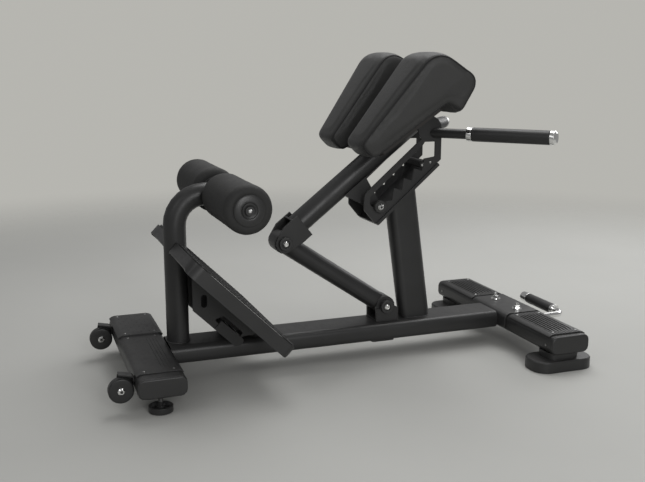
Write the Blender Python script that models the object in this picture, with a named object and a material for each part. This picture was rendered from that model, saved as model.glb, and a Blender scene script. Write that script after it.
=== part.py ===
"""Hyperextension bench: a floor frame with a bent roller post and foot plate, a leaning ladder post,
and a two-link pad carriage whose latch pin rests in the notches of the ladder plates.

Metres, +Z up. +X runs from the foot plate to the handles, and +Y is the user's left hand side.
The origin is on the floor, under the centre of the bench.
"""

from math import acos, asin, atan2, cos, degrees, hypot, pi, radians, sin, sqrt, tan

import bmesh
import bpy
from mathutils import Matrix, Vector

# Fits
GAP = 0.0003
RUNNING = 0.0003
WALL = 0.003
FINE_EDGE = 0.001
SOFT_EDGE = 0.0015
BOLT_EDGE = 0.002
CUT_PAST = 0.010
ROUND_STEPS = 20
SMALL_STEPS = 16
ROLLER_STEPS = 28
CORNER_STEPS = 3

# Floor frame: flat oval bars
BAR_WIDTH = 0.118
BAR_HEIGHT = 0.050
BAR_ROUND = 0.016
BAR_TOP = 0.100
REAR_BAR_X = -0.561
REAR_BAR_HALF = 0.2675
BAR_SPAN = 1.0955
FRONT_BAR_X = REAR_BAR_X + BAR_SPAN
FRONT_BAR_HALF = 0.3255
CAP_FLANGE = 0.0075
CAP_PLUG = 0.014
CAP_CHAMFER = 0.003

# Tread sheets and the saddle plate, bent over the bars
SHEET = 0.003
TREAD_RIB = 0.0012
TREAD_RIBS = 9
RIB_FOOT_SHARE = 0.15
RIB_TOP_SHARE = 0.30
SHEET_REACH = radians(48)
REAR_TREAD_SPLIT = 0.066
REAR_TREAD_RIGHT_MARGIN = 0.030
REAR_TREAD_LEFT_MARGIN = 0.006
REAR_TREAD_STEP = 0.0045
FRONT_TREAD_GAP = 0.0085
FRONT_TREAD_MARGIN = 0.012
SADDLE_HALF = 0.098
SADDLE_SHEET = 0.004
SADDLE_SKIRT = 0.040

# Rubber feet under the front bar
FOOT_BACK = 0.006
FOOT_WIDTH = 0.180
FOOT_LENGTH = 0.100
FOOT_HEIGHT = 0.031
FOOT_ROUND = 0.040
FOOT_INSET = 0.0405
FOOT_NECK_WIDTH = 0.094
FOOT_NECK_LENGTH = 0.072
FOOT_NECK_ROUND = 0.020
FOOT_EDGE = 0.003

# Levelling feet under the rear bar
LEVEL_INSET = 0.0395
LEVEL_RADIUS = 0.0305
LEVEL_RIM = 0.016
LEVEL_DISH = 0.009
LEVEL_SOLE_EDGE = 0.002
LEVEL_RIM_WIDTH = 0.006
LEVEL_RIM_FOOT = 0.010
STUD_RADIUS = 0.006
STUD_TOP = 0.072
STUD_NUT = 0.005
STUD_NUT_FOOT = 0.006

# Transport wheels
WHEEL_X = -0.652
WHEEL_INSET = 0.0561
WHEEL_Z = 0.060
WHEEL_RADIUS = 0.031
WHEEL_WIDTH = 0.022
WHEEL_EDGE = 0.004
WHEEL_BOLT = 0.005
WHEEL_BOLT_HEAD = 0.0085
WHEEL_BOLT_HEAD_THICK = 0.0045
WHEEL_BOLT_END = 0.002
WHEEL_CLEAR = 0.009
FORK_SHEET = 0.003
FORK_REACH = 0.005
FORK_CLEAR = 0.0008
FORK_CORNER = 0.008
FORK_CHEEK_X = 0.012
FORK_CHEEK_DROP = 0.004
FORK_CHEEK_ROUND = 0.006
FORK_EYE_DROP = 0.014
FORK_HEEL_Z = 0.004
FORK_FLANGE = 0.018
FORK_FALL = 0.008
FORK_HOOD_OVER = 0.001
FORK_HOOD_BACK = 0.0005

# Roller post and foam rollers
POST_X = -0.4715
POST_RADIUS = 0.030
POST_BEND = 0.080
ROLLER_X = -0.349
ROLLER_Z = 0.490
ROLLER_HUB = 0.027
ROLLER_HUB_HALF = 0.041
AXLE_RADIUS = 0.010
ROLLER_RADIUS = 0.060
ROLLER_IN = 0.0455
ROLLER_OUT = 0.2925
ROLLER_EDGE = 0.016
CORE_TUBE = 0.016
CORE_FLANGE = 0.038
CORE_DOME = 0.007
CORE_CLEAR = 0.001
CORE_FLANGE_THICK = 0.0015
CORE_FLANGE_EDGE = 0.002
CORE_CROWN = 0.0236
CORE_CROWN_RISE = 0.0056
CORE_RIM_OUTER = 0.005
CORE_RIM_INNER = 0.003
AXLE_HEAD = 0.011
AXLE_HEAD_THICK = 0.004
AXLE_PROUD = 0.001

# Foot plate: a tray on a slope, notched round the roller post
TRAY_TIP_X = -0.475
TRAY_TIP_Z = 0.3737
TRAY_SLOPE = radians(44.6)
TRAY_LENGTH = 0.350
TRAY_HALF = 0.262
TRAY_DEPTH = 0.035
TRAY_SHEET = 0.004
TRAY_ROUND = 0.035
TRAY_LOW_ROUND = 0.020
TRAY_SKIRT_ROUND = 0.012
TRAY_LIP_ROUND = 0.005
NOTCH_CLEAR = 0.005
NOTCH_ROUND = 0.010
NOTCH_END_SHARE = 0.9
FOOT_TREAD_MARGIN = 0.006
FOOT_TREAD_SHEET = 0.003
SUPPORT_HALF = 0.057
SUPPORT_SHEET = 0.004
SUPPORT_WEB = 0.004
SUPPORT_DROP = 0.105
SUPPORT_INSET = 0.012
STRUT_THICK = 0.029
STRUT_START = 0.229
STRUT_END = 0.316
STRUT_ROUND = 0.009
SUPPORT_HOLE_U = 0.1565
SUPPORT_HOLE_W = -0.0675
SUPPORT_HOLE_LONG = 0.016
SUPPORT_HOLE_HIGH = 0.034
SUPPORT_HOLE_ROUND = 0.007
SUPPORT_SLOT_START = 0.017
SUPPORT_SLOT_PEAK = 0.0045
SUPPORT_SLOT_END = 0.018
SUPPORT_SLOT_HIGH = 0.012
SUPPORT_SLOT_DEEP = 0.011
SUPPORT_SLOT_ROUND = 0.004
SUPPORT_TAIL = 0.020
SUPPORT_TAIL_HIGH = 0.026
SUPPORT_TAIL_WAIST = 0.002
SUPPORT_TAIL_RISE = 0.007

# Lower link between the rail and the elbow
BASE_PIVOT_X = 0.119
BASE_PIVOT_Z = 0.144
ELBOW_X = -0.181
ELBOW_Z = 0.348
LINK_RADIUS = 0.0265
SLEEVE_RADIUS = 0.0285
SLEEVE_HALF = 0.030
DRAIN_RADIUS = 0.003
PIN_RADIUS = 0.008
EAR_SHEET = 0.006
BOSS_RADIUS = 0.0190
BOSS_THICK = 0.009
BOSS_RECESS = 0.010
BOSS_RECESS_DEPTH = 0.003
BASE_NOSE = 0.0185
BASE_EAR_BACK = 0.031
BASE_EAR_FRONT = 0.036
BASE_EAR_SLOPE = 0.008
BASE_SHOULDER = 0.006
CLAMP_LENGTH = 0.070
CLAMP_HALF = 0.046
CLAMP_SHEET = 0.004
CLAMP_BACK = 0.012
CLAMP_ROUND = 0.008

# Pad arm, elbow clevis and gusset
ARM_ANGLE = radians(38.2)
ARM_RADIUS = 0.030
ARM_OFFSET = 0.0065
ARM_START = 0.0585
ARM_END = 0.508
CLEVIS_RADIUS = 0.026
CLEVIS_UP = 0.037
CLEVIS_DOWN = 0.032
CLEVIS_LOW_START = 0.040
CLEVIS_LENGTH = 0.074
CLEVIS_HIGH_START = 0.0235
CLEVIS_ARC_START = radians(110)
CLEVIS_ARC_END = radians(264)
WEB_SHEET = 0.005
GUSSET_HALF = 0.0285
GUSSET_SHEET = 0.005
GUSSET_TOP_START = 0.212
GUSSET_TOP_END = 0.290
GUSSET_WEB = 0.008
LATCH_EYE = 0.0165
EYE_START = radians(214.4)
EYE_SWEEP = radians(162.8)
ARM_CAP_SHEET = 0.004
ARM_CAP_PLUG = 0.012

# Ladder bracket on the leaning post
LADDER_ANGLE = radians(40.8)
NOTCH_X = 0.0905
NOTCH_Z = 0.4276
NOTCH_PITCH = 0.0395
NOTCHES = 5
NOTCH_FLOOR = radians(16.5)
TOOTH_LEAN = 0.006
TOOTH_RISE = 0.034
TOOTH_ROUND = 0.0015
FIRST_LIFT_SHARE = 0.04
FIRST_TOOTH_SHARE = 0.60
NOTCH_REACH = 0.020
LATCH_RADIUS = 0.008
LATCH_BOSS = 0.0175
LATCH_SLEEVE = 0.0145
LATCH_BOSS_THICK = 0.011
LATCH_HEAD = 0.0075
LATCH_HEAD_THICK = 0.004
LATCH_LIFT = 0.026
PLATE_OUT = 0.060
PLATE_SHEET = 0.0055
PLATE_LOW = 0.250
BAND_TOP = 0.3335
BAND_LOW = 0.318
PLATE_LEFT_X = 0.0385
PLATE_LEFT_LOW_Z = 0.430
WINDOW_LEFT_X = 0.0545
PLATE_FOOT_S = 0.309
HEAD_X = 0.2315
HEAD_Z = 0.646
HEAD_RADIUS = 0.036
STRUT_IN_X = 0.249
STRUT_FOOT_Z = 0.5695
WINDOW_TOP_Z = 0.611
WINDOW_CHAMFER_X = 0.217
WINDOW_ROUND = 0.004
WINDOW_STRUT_ROUND = 0.0025
WINDOW_HEAD_BACK = 0.010
WINDOW_BAND_ROUND = 0.012
WINDOW_LEFT_RISE = 0.016
WINDOW_LEFT_ROUND = 0.010
PLATE_FOOT_ROUND = 0.004
PLATE_BAND_ROUND = 0.022
PLATE_LEFT_ROUND = 0.008
SADDLE_BASE_SHEET = 0.008
BASE_ROUND = 0.002
SADDLE_BASE_HALF = 0.065
SADDLE_BASE_START = 0.3112
SADDLE_BASE_END = 0.555
STOP_X = 0.2167
STOP_Z = 0.5487
STOP_RADIUS = 0.0115

# Leaning post
LADDER_POST_X = 0.2215
LADDER_POST_LEAN = radians(8.0)
LADDER_POST_WIDTH = 0.092
LADDER_POST_DEPTH = 0.052
LADDER_POST_ROUND = 0.022

# Handles
HANDLE_ANGLE = radians(48.6)
HANDLE_START_X = 0.2487
HANDLE_Z = 0.6348
HANDLE_BAR = 0.0135
HANDLE_BAR_LENGTH = 0.092
HANDLE_ROD = 0.0125
HANDLE_COLLAR = 0.0192
HANDLE_COLLAR_LONG = 0.015
HANDLE_GRIP = 0.019
HANDLE_LENGTH = 0.335
HANDLE_CAP_LONG = 0.017
HANDLE_CAP_DOME = 0.006
HANDLE_CAP_EDGE = 0.006

# Lift handle on the front bar
LIFT_Z = 0.088
LIFT_Y = -0.108
LIFT_REACH = 0.1315
LIFT_TUBE = 0.0085
LIFT_BEND = 0.028
LIFT_END_Y = 0.103
LIFT_GRIP = 0.0155
LIFT_GRIP_START = -0.052
LIFT_GRIP_END = 0.076
LIFT_COLLAR = 0.015
LIFT_COLLAR_LONG = 0.013
LIFT_CAP_PROUD = 0.002

# Pads: one each side of the arm, mirrored. Corners are u along the arm from the elbow, v above it.
PAD_FACE_LOW_U = 0.289
PAD_FACE_LOW_V = 0.1165
PAD_FACE_LOW_ROUND = 0.018
PAD_HEEL_U = 0.2955
PAD_HEEL_ROUND = 0.018
PAD_FLOOR_END_U = 0.530
PAD_LIP_U = 0.546
PAD_LIP_V = 0.006
PAD_LIP_ROUND = 0.008
PAD_BACK_U = 0.643
PAD_BACK_V = 0.054
PAD_BACK_ROUND = 0.036
PAD_FACE_HIGH_U = 0.594
PAD_FACE_HIGH_V = 0.2015
PAD_FACE_HIGH_ROUND = 0.054
PAD_IN_LOW = 0.053
PAD_IN_HIGH = 0.058
PAD_OUT_LOW = 0.167
PAD_OUT_HIGH = 0.2313
PAD_EDGE_ROUND = 0.012
PAD_LEAST_ROUND = 0.003
PAD_SECTIONS = 11
PAD_STEPS = 5
BOARD_LOW = 0.049
BOARD_SHEET = 0.010
BOARD_MARGIN = 0.014
BOARD_ROUND = 0.010
BOARD_START = 0.328
BOARD_END = 0.520
CARRIER_SHEET = 0.006
CARRIER_WIDTH = 0.040
CARRIER_HALF = 0.140
CARRIER_BLOCK_HALF = 0.024
CARRIER_FIRST = 0.350
CARRIER_SECOND = 0.480

# Finishes: base colour, roughness, metallic
BLACK_PAINT = ((0.020, 0.020, 0.021), 0.42, 0.35)
SATIN_BLACK = ((0.026, 0.026, 0.027), 0.55, 0.20)
BLACK_PLASTIC = ((0.022, 0.022, 0.023), 0.48, 0.0)
BLACK_RUBBER = ((0.018, 0.018, 0.018), 0.75, 0.0)
BLACK_FOAM = ((0.024, 0.023, 0.023), 0.85, 0.0)
CHARCOAL_VINYL = ((0.035, 0.035, 0.036), 0.60, 0.0)
CHROME = ((0.72, 0.72, 0.73), 0.14, 1.0)
DARK_WOOD = ((0.030, 0.026, 0.024), 0.70, 0.0)

SIDES = (("right", -1), ("left", 1))


def clear_scene():
    for obj in list(bpy.data.objects):
        bpy.data.objects.remove(obj)


def finish_material(name, finish):
    colour, roughness, metallic = finish
    material = bpy.data.materials.new(name)
    material.use_nodes = True
    shader = material.node_tree.nodes["Principled BSDF"]
    shader.inputs["Base Color"].default_value = (*colour, 1.0)
    shader.inputs["Roughness"].default_value = roughness
    shader.inputs["Metallic"].default_value = metallic
    return material


def axis_empty(name, x, y, z, parent=None):
    empty = bpy.data.objects.new(name, None)
    bpy.context.scene.collection.objects.link(empty)
    empty.parent = parent
    centre = Vector((x, y, z))
    empty["world"] = centre
    empty.location = centre - (Vector(parent["world"]) if parent else Vector())
    return empty


def add(name, shape, finish, at=(0, 0, 0), turn=None, parent=None, smooth=radians(35)):
    """Links a bmesh as an object at a world place, turned by a matrix, under an unturned empty."""
    bmesh.ops.remove_doubles(shape, verts=shape.verts, dist=1e-6)
    bmesh.ops.recalc_face_normals(shape, faces=shape.faces)
    mesh = bpy.data.meshes.new(name)
    shape.to_mesh(mesh)
    shape.free()
    mesh.shade_smooth()
    mesh.set_sharp_from_angle(angle=smooth)
    obj = bpy.data.objects.new(name, mesh)
    bpy.context.scene.collection.objects.link(obj)
    mesh.materials.append(finish_material(name, finish))
    place = Vector(at)
    if parent:
        obj.parent = parent
        place = place - Vector(parent["world"])
    obj.matrix_local = Matrix.Translation(place) @ (turn.to_4x4() if turn else Matrix.Identity(4))
    return obj


def helper(name, shape, at=(0, 0, 0), turn=None):
    """A hidden cutter or joining shape."""
    obj = add(name, shape, BLACK_PAINT, at, turn)
    obj.hide_render = True
    obj.display_type = "WIRE"
    return obj


def combine(obj, other, operation):
    modifier = obj.modifiers.new(other.name, "BOOLEAN")
    modifier.operation = operation
    modifier.object = other
    modifier.solver = "EXACT"


def cut(obj, cutter):
    combine(obj, cutter, "DIFFERENCE")


def join(obj, other):
    combine(obj, other, "UNION")


def turn_xyz(x_axis, y_axis):
    """A rotation that sends local X and Y to the given directions."""
    x_axis = Vector(x_axis).normalized()
    y_axis = Vector(y_axis).normalized()
    return Matrix((x_axis, y_axis, x_axis.cross(y_axis))).transposed()


ALONG_Y = turn_xyz((1, 0, 0), (0, 0, -1))


def rounded(corners, steps=CORNER_STEPS):
    """A closed outline of (a, b, radius) corners, with an arc at each radius above zero."""
    points = []
    count = len(corners)
    for i, (a, b, radius) in enumerate(corners):
        here = Vector((a, b))
        if radius <= 0:
            points.append(here)
            continue
        back = (Vector(corners[i - 1][:2]) - here).normalized()
        ahead = (Vector(corners[(i + 1) % count][:2]) - here).normalized()
        half = back.angle(ahead) / 2
        reach = radius / tan(half)
        centre = here + (back + ahead).normalized() * (radius / sin(half))
        start = here + back * reach - centre
        end = here + ahead * reach - centre
        sweep = start.angle_signed(end)
        for k in range(steps + 1):
            turn = -sweep * k / steps
            x = start.x * cos(turn) - start.y * sin(turn)
            y = start.x * sin(turn) + start.y * cos(turn)
            points.append(centre + Vector((x, y)))
    return points


def rounded_box(width, height, radius, steps=CORNER_STEPS):
    a, b = width / 2, height / 2
    return rounded([(-a, -b, radius), (a, -b, radius), (a, b, radius), (-a, b, radius)], steps)


def ring_outline(radius, steps=ROUND_STEPS):
    angles = [2 * pi * k / steps for k in range(steps)]
    return [Vector((radius * cos(a), radius * sin(a))) for a in angles]


def slab(outline, low, high, plane="XZ"):
    """An outline raised from low to high: across Y for an XZ outline, up Z for an XY outline."""
    shape = bmesh.new()
    rings = []
    for level in (low, high):
        if plane == "XZ":
            rings.append([shape.verts.new((p[0], level, p[1])) for p in outline])
        else:
            rings.append([shape.verts.new((p[0], p[1], level)) for p in outline])
    shape.faces.new(rings[0])
    shape.faces.new(rings[1][::-1])
    for k in range(len(outline)):
        j = (k + 1) % len(outline)
        shape.faces.new((rings[0][k], rings[0][j], rings[1][j], rings[1][k]))
    return shape


def box(x, y, z):
    """A box from three (low, high) pairs."""
    outline = [(x[0], z[0]), (x[1], z[0]), (x[1], z[1]), (x[0], z[1])]
    return slab(outline, y[0], y[1])


def loft(rings, closed=False):
    """Skins rings of points, each ring with as many points. Ends are filled, or joined up if closed."""
    shape = bmesh.new()
    loops = [[shape.verts.new(p) for p in ring] for ring in rings]
    count = len(loops[0])
    pairs = list(zip(loops, loops[1:]))
    if closed:
        pairs.append((loops[-1], loops[0]))
    for first, second in pairs:
        for k in range(count):
            j = (k + 1) % count
            shape.faces.new((first[k], first[j], second[j], second[k]))
    if not closed:
        shape.faces.new(loops[0][::-1])
        shape.faces.new(loops[-1])
    return shape


def turned(profile, steps=ROUND_STEPS, bored=False):
    """A turned solid about local Z from (radius, height) points. A bored profile is a closed loop."""
    shape = bmesh.new()
    loops = []
    for radius, height in profile:
        if radius < 1e-9:
            loops.append([shape.verts.new((0, 0, height))])
        else:
            loops.append([shape.verts.new((p.x, p.y, height)) for p in ring_outline(radius, steps)])
    pairs = list(zip(loops, loops[1:]))
    if bored:
        pairs.append((loops[-1], loops[0]))
    for first, second in pairs:
        for k in range(steps):
            j = (k + 1) % steps
            if len(first) == 1 and len(second) == 1:
                continue
            if len(first) == 1:
                shape.faces.new((first[0], second[j], second[k]))
            elif len(second) == 1:
                shape.faces.new((first[k], first[j], second[0]))
            else:
                shape.faces.new((first[k], first[j], second[j], second[k]))
    return shape


def path_rings(path, normal, outline):
    """Rings of an outline along a flat path whose plane has this normal."""
    normal = Vector(normal).normalized()
    points = [Vector(p) for p in path]
    rings = []
    for i, point in enumerate(points):
        ahead = (points[min(i + 1, len(points) - 1)] - point)
        behind = (point - points[max(i - 1, 0)])
        tangent = (ahead.normalized() + behind.normalized()).normalized()
        side = tangent.cross(normal)
        rings.append([point + side * p[0] + normal * p[1] for p in outline])
    return rings


def tube(path, normal, outline, inner=None):
    """A solid bar, or a tube open at both ends where an inner outline with as many points is given."""
    outside = path_rings(path, normal, outline)
    if inner is None:
        return loft(outside)
    inside = path_rings(path, normal, inner)
    return loft(outside + inside[::-1], closed=True)


def bend_points(start, corner, end, radius, steps=8):
    """A path from start to end with one round bend at the corner."""
    start, corner, end = Vector(start), Vector(corner), Vector(end)
    back = (start - corner).normalized()
    ahead = (end - corner).normalized()
    half = back.angle(ahead) / 2
    centre = corner + (back + ahead).normalized() * (radius / sin(half))
    first = corner + back * (radius / tan(half)) - centre
    last = corner + ahead * (radius / tan(half)) - centre
    sweep = first.angle(last)
    middle = [
        centre + (first * sin(sweep * (1 - k / steps)) + last * sin(sweep * k / steps)) / sin(sweep)
        for k in range(steps + 1)
    ]
    return [start, *middle, end]


def bar_outline(grow=0.0):
    return rounded_box(BAR_WIDTH + 2 * grow, BAR_HEIGHT + 2 * grow, BAR_ROUND + grow)


def bar_centre_z():
    return BAR_TOP - BAR_HEIGHT / 2


def ladder_point(s, n):
    """World X and Z of a point s along the ladder and n square to it."""
    return (s * cos(LADDER_ANGLE) - n * sin(LADDER_ANGLE), s * sin(LADDER_ANGLE) + n * cos(LADDER_ANGLE))


def arm_point(u, v):
    """World X and Z of a point u along the pad arm from the elbow and v square to it."""
    return (
        ELBOW_X + u * cos(ARM_ANGLE) - v * sin(ARM_ANGLE),
        ELBOW_Z + u * sin(ARM_ANGLE) + v * cos(ARM_ANGLE),
    )


def tray_point(u, w):
    """World X and Z of a point u down the foot plate's slope and w above its top."""
    return (
        TRAY_TIP_X + u * cos(TRAY_SLOPE) + w * sin(TRAY_SLOPE),
        TRAY_TIP_Z - u * sin(TRAY_SLOPE) + w * cos(TRAY_SLOPE),
    )


def latch_point():
    """The latch pin's axis, where it touches both the floor and the wall of the lowest notch."""
    reach = LATCH_RADIUS + GAP
    rise = reach * (1 + sin(NOTCH_FLOOR)) / cos(NOTCH_FLOOR)
    return (NOTCH_X - reach, NOTCH_Z + rise)


def linkage():
    """The link's swing and the carriage's turn that take the latch pin from the lowest notch to the
    highest, where it is held above the notch by LATCH_LIFT. Clockwise from the right hand side."""
    latch_x, latch_z = latch_point()
    link = hypot(ELBOW_X - BASE_PIVOT_X, ELBOW_Z - BASE_PIVOT_Z)
    arm = hypot(latch_x - ELBOW_X, latch_z - ELBOW_Z)
    along, off = ladder_point((NOTCHES - 1) * NOTCH_PITCH, LATCH_LIFT)
    target_x, target_z = latch_x + along, latch_z + off
    span = hypot(target_x - BASE_PIVOT_X, target_z - BASE_PIVOT_Z)
    towards = atan2(target_z - BASE_PIVOT_Z, target_x - BASE_PIVOT_X)
    opening = acos((link**2 + span**2 - arm**2) / (2 * link * span))
    link_end = towards + opening
    elbow_x = BASE_PIVOT_X + link * cos(link_end)
    elbow_z = BASE_PIVOT_Z + link * sin(link_end)
    link_start = atan2(ELBOW_Z - BASE_PIVOT_Z, ELBOW_X - BASE_PIVOT_X)
    arm_start = atan2(latch_z - ELBOW_Z, latch_x - ELBOW_X)
    arm_end = atan2(target_z - elbow_z, target_x - elbow_x)
    swing = link_start - link_end
    return swing, (arm_start - arm_end) - swing


def latch_at(share):
    """The latch pin's place when this share of the linkage's whole swing is done."""
    swing, fold = linkage()
    latch_x, latch_z = latch_point()
    turn = swing * share
    whole = (swing + fold) * share
    elbow_x = BASE_PIVOT_X + (ELBOW_X - BASE_PIVOT_X) * cos(turn) + (ELBOW_Z - BASE_PIVOT_Z) * sin(turn)
    elbow_z = BASE_PIVOT_Z - (ELBOW_X - BASE_PIVOT_X) * sin(turn) + (ELBOW_Z - BASE_PIVOT_Z) * cos(turn)
    reach_x, reach_z = latch_x - ELBOW_X, latch_z - ELBOW_Z
    return (
        elbow_x + reach_x * cos(whole) + reach_z * sin(whole),
        elbow_z - reach_x * sin(whole) + reach_z * cos(whole),
    )


def rear_and_front_bars():
    inner = bar_outline(-WALL)
    bars = (("rear_crossbar", REAR_BAR_X, REAR_BAR_HALF), ("front_crossbar", FRONT_BAR_X, FRONT_BAR_HALF))
    for name, x, half in bars:
        shape = tube([(0, -half, 0), (0, half, 0)], (0, 0, 1), bar_outline(), inner)
        bar = add(name, shape, BLACK_PAINT, (x, 0, bar_centre_z()))
        if name == "rear_crossbar":
            radius = STUD_RADIUS + RUNNING
            for side, sign in SIDES:
                hole = turned([(0, -BAR_HEIGHT), (radius, -BAR_HEIGHT), (radius, 0), (0, 0)])
                at = (x, sign * (REAR_BAR_HALF - LEVEL_INSET), bar_centre_z())
                cut(bar, helper("stud_hole_" + side, hole, at))
        for side, sign in SIDES:
            bar_cap(name.split("_")[0] + "_cap_" + side, x, sign * half, sign)


def bar_cap(name, x, y, sign):
    """A plastic end cap: a plug inside the tube and a flange over its end."""
    plug = bar_outline(-WALL - GAP)
    flange = bar_outline()
    small = bar_outline(-CAP_CHAMFER)
    levels = [
        (plug, -CAP_PLUG),
        (plug, GAP),
        (flange, GAP),
        (flange, CAP_FLANGE - CAP_CHAMFER),
        (small, CAP_FLANGE),
    ]
    rings = [[Vector((p[0], level * sign, p[1])) for p in outline] for outline, level in levels]
    add(name, loft(rings), BLACK_PLASTIC, (x, y, bar_centre_z()))


def main_rail():
    start = REAR_BAR_X + BAR_WIDTH / 2 + GAP
    end = FRONT_BAR_X - BAR_WIDTH / 2 - SADDLE_SHEET - 2 * GAP
    shape = tube([(start, 0, 0), (end, 0, 0)], (0, 0, 1), bar_outline(), bar_outline(-WALL))
    add("main_rail", shape, BLACK_PAINT, (0, 0, bar_centre_z()))


def bent_sheet(inside, thickness, reach, skirt=0.0, ribs=0, rib=0.0):
    """The XZ outline of a sheet bent over a bar's top: flat, then round by the reach angle, then a
    skirt down each side. The ribs run along the bar. Z is 0 at the bar's top."""
    flat = BAR_WIDTH / 2 - BAR_ROUND
    radius = BAR_ROUND + inside
    step = reach / CORNER_STEPS
    outside = 1 / cos(step / 2)
    arc = [(0, 1), *[(step * (k + 0.5), outside) for k in range(CORNER_STEPS)], (reach, 1)]
    lower = [(flat + radius * r * sin(a), -BAR_ROUND + radius * r * cos(a)) for a, r in arc]
    radius += thickness
    upper = [(flat + radius * r * sin(a), -BAR_ROUND + radius * r * cos(a)) for a, r in arc]
    if skirt:
        lower.append((lower[-1][0], lower[-1][1] - skirt + BAR_ROUND))
        upper.append((upper[-1][0], upper[-1][1] - skirt + BAR_ROUND))
    top = []
    pitch = 2 * flat / ribs if ribs else 0
    for k in range(ribs):
        left = -flat + pitch * k
        top += [
            (left + pitch * RIB_FOOT_SHARE, inside + thickness),
            (left + pitch * RIB_TOP_SHARE, inside + thickness + rib),
            (left + pitch * (1 - RIB_TOP_SHARE), inside + thickness + rib),
            (left + pitch * (1 - RIB_FOOT_SHARE), inside + thickness),
        ]
    left_upper = [(-x, z) for x, z in upper[::-1]]
    left_lower = [(-x, z) for x, z in lower]
    return left_upper + top + upper + lower[::-1] + left_lower


def treads_and_saddle():
    ribbed = bent_sheet(GAP, SHEET, SHEET_REACH, ribs=TREAD_RIBS, rib=TREAD_RIB)
    plain = bent_sheet(GAP, SHEET, SHEET_REACH)
    raised = bent_sheet(GAP, SHEET + REAR_TREAD_STEP, SHEET_REACH)
    rear_at = (REAR_BAR_X, 0, BAR_TOP)
    front_at = (FRONT_BAR_X, 0, BAR_TOP)
    right_end = REAR_TREAD_RIGHT_MARGIN - REAR_BAR_HALF
    left_end = REAR_BAR_HALF - REAR_TREAD_LEFT_MARGIN
    front_start = SADDLE_HALF + FRONT_TREAD_GAP
    front_end = FRONT_BAR_HALF - FRONT_TREAD_MARGIN
    add("rear_tread_right", slab(plain, right_end, REAR_TREAD_SPLIT - GAP), BLACK_RUBBER, rear_at)
    add("rear_tread_left", slab(raised, REAR_TREAD_SPLIT, left_end), BLACK_RUBBER, rear_at)
    for side, sign in SIDES:
        ends = sorted((sign * front_start, sign * front_end))
        add("front_tread_" + side, slab(ribbed, *ends), BLACK_RUBBER, front_at)
    saddle = bent_sheet(GAP, SADDLE_SHEET, pi / 2, skirt=SADDLE_SKIRT)
    add("saddle_plate", slab(saddle, -SADDLE_HALF, SADDLE_HALF), BLACK_PAINT, front_at)


def rubber_feet():
    for side, sign in SIDES:
        base = rounded_box(FOOT_WIDTH, FOOT_LENGTH, FOOT_ROUND, 5)
        edge = FOOT_EDGE
        top = rounded_box(FOOT_WIDTH - 2 * edge, FOOT_LENGTH - 2 * edge, FOOT_ROUND - edge, 5)
        neck = rounded_box(FOOT_NECK_WIDTH, FOOT_NECK_LENGTH, FOOT_NECK_ROUND, 5)
        neck_top = BAR_TOP - BAR_HEIGHT - GAP
        levels = [
            (base, 0),
            (base, FOOT_HEIGHT - FOOT_EDGE),
            (top, FOOT_HEIGHT),
            (neck, FOOT_HEIGHT),
            (neck, neck_top),
        ]
        rings = [[Vector((p.x, p.y, level)) for p in outline] for outline, level in levels]
        at = (FRONT_BAR_X - FOOT_BACK, sign * (FRONT_BAR_HALF - FOOT_INSET), 0)
        add("rubber_foot_" + side, loft(rings), BLACK_RUBBER, at)


def levelling_feet():
    profile = [
        (0, 0),
        (LEVEL_RADIUS - LEVEL_SOLE_EDGE, 0),
        (LEVEL_RADIUS, LEVEL_SOLE_EDGE),
        (LEVEL_RADIUS, LEVEL_RIM - FINE_EDGE),
        (LEVEL_RADIUS - FINE_EDGE, LEVEL_RIM),
        (LEVEL_RADIUS - LEVEL_RIM_WIDTH, LEVEL_RIM),
        (LEVEL_RADIUS - LEVEL_RIM_FOOT, LEVEL_DISH),
        (STUD_RADIUS + STUD_NUT_FOOT, LEVEL_DISH),
        (STUD_RADIUS + STUD_NUT, LEVEL_RIM),
        (STUD_RADIUS, LEVEL_RIM + FINE_EDGE),
        (STUD_RADIUS, STUD_TOP - FINE_EDGE),
        (STUD_RADIUS - FINE_EDGE, STUD_TOP),
        (0, STUD_TOP),
    ]
    for side, sign in SIDES:
        at = (REAR_BAR_X, sign * (REAR_BAR_HALF - LEVEL_INSET), 0)
        axis = axis_empty("levelling_axis_" + side, *at)
        add("levelling_foot_" + side, turned(profile), BLACK_PLASTIC, at, parent=axis)


def transport_wheels():
    half = WHEEL_WIDTH / 2
    bore = WHEEL_BOLT + RUNNING
    profile = [
        (bore, -half),
        (WHEEL_RADIUS - WHEEL_EDGE, -half),
        (WHEEL_RADIUS, -half + WHEEL_EDGE),
        (WHEEL_RADIUS, half - WHEEL_EDGE),
        (WHEEL_RADIUS - WHEEL_EDGE, half),
        (bore, half),
    ]
    for side, sign in SIDES:
        at = (WHEEL_X, sign * (REAR_BAR_HALF - WHEEL_INSET), WHEEL_Z)
        axis = axis_empty("wheel_axis_" + side, *at)
        add("wheel_" + side, turned(profile, bored=True), BLACK_PLASTIC, at, ALONG_Y, axis)
        wheel_fork(side, at)


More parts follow.
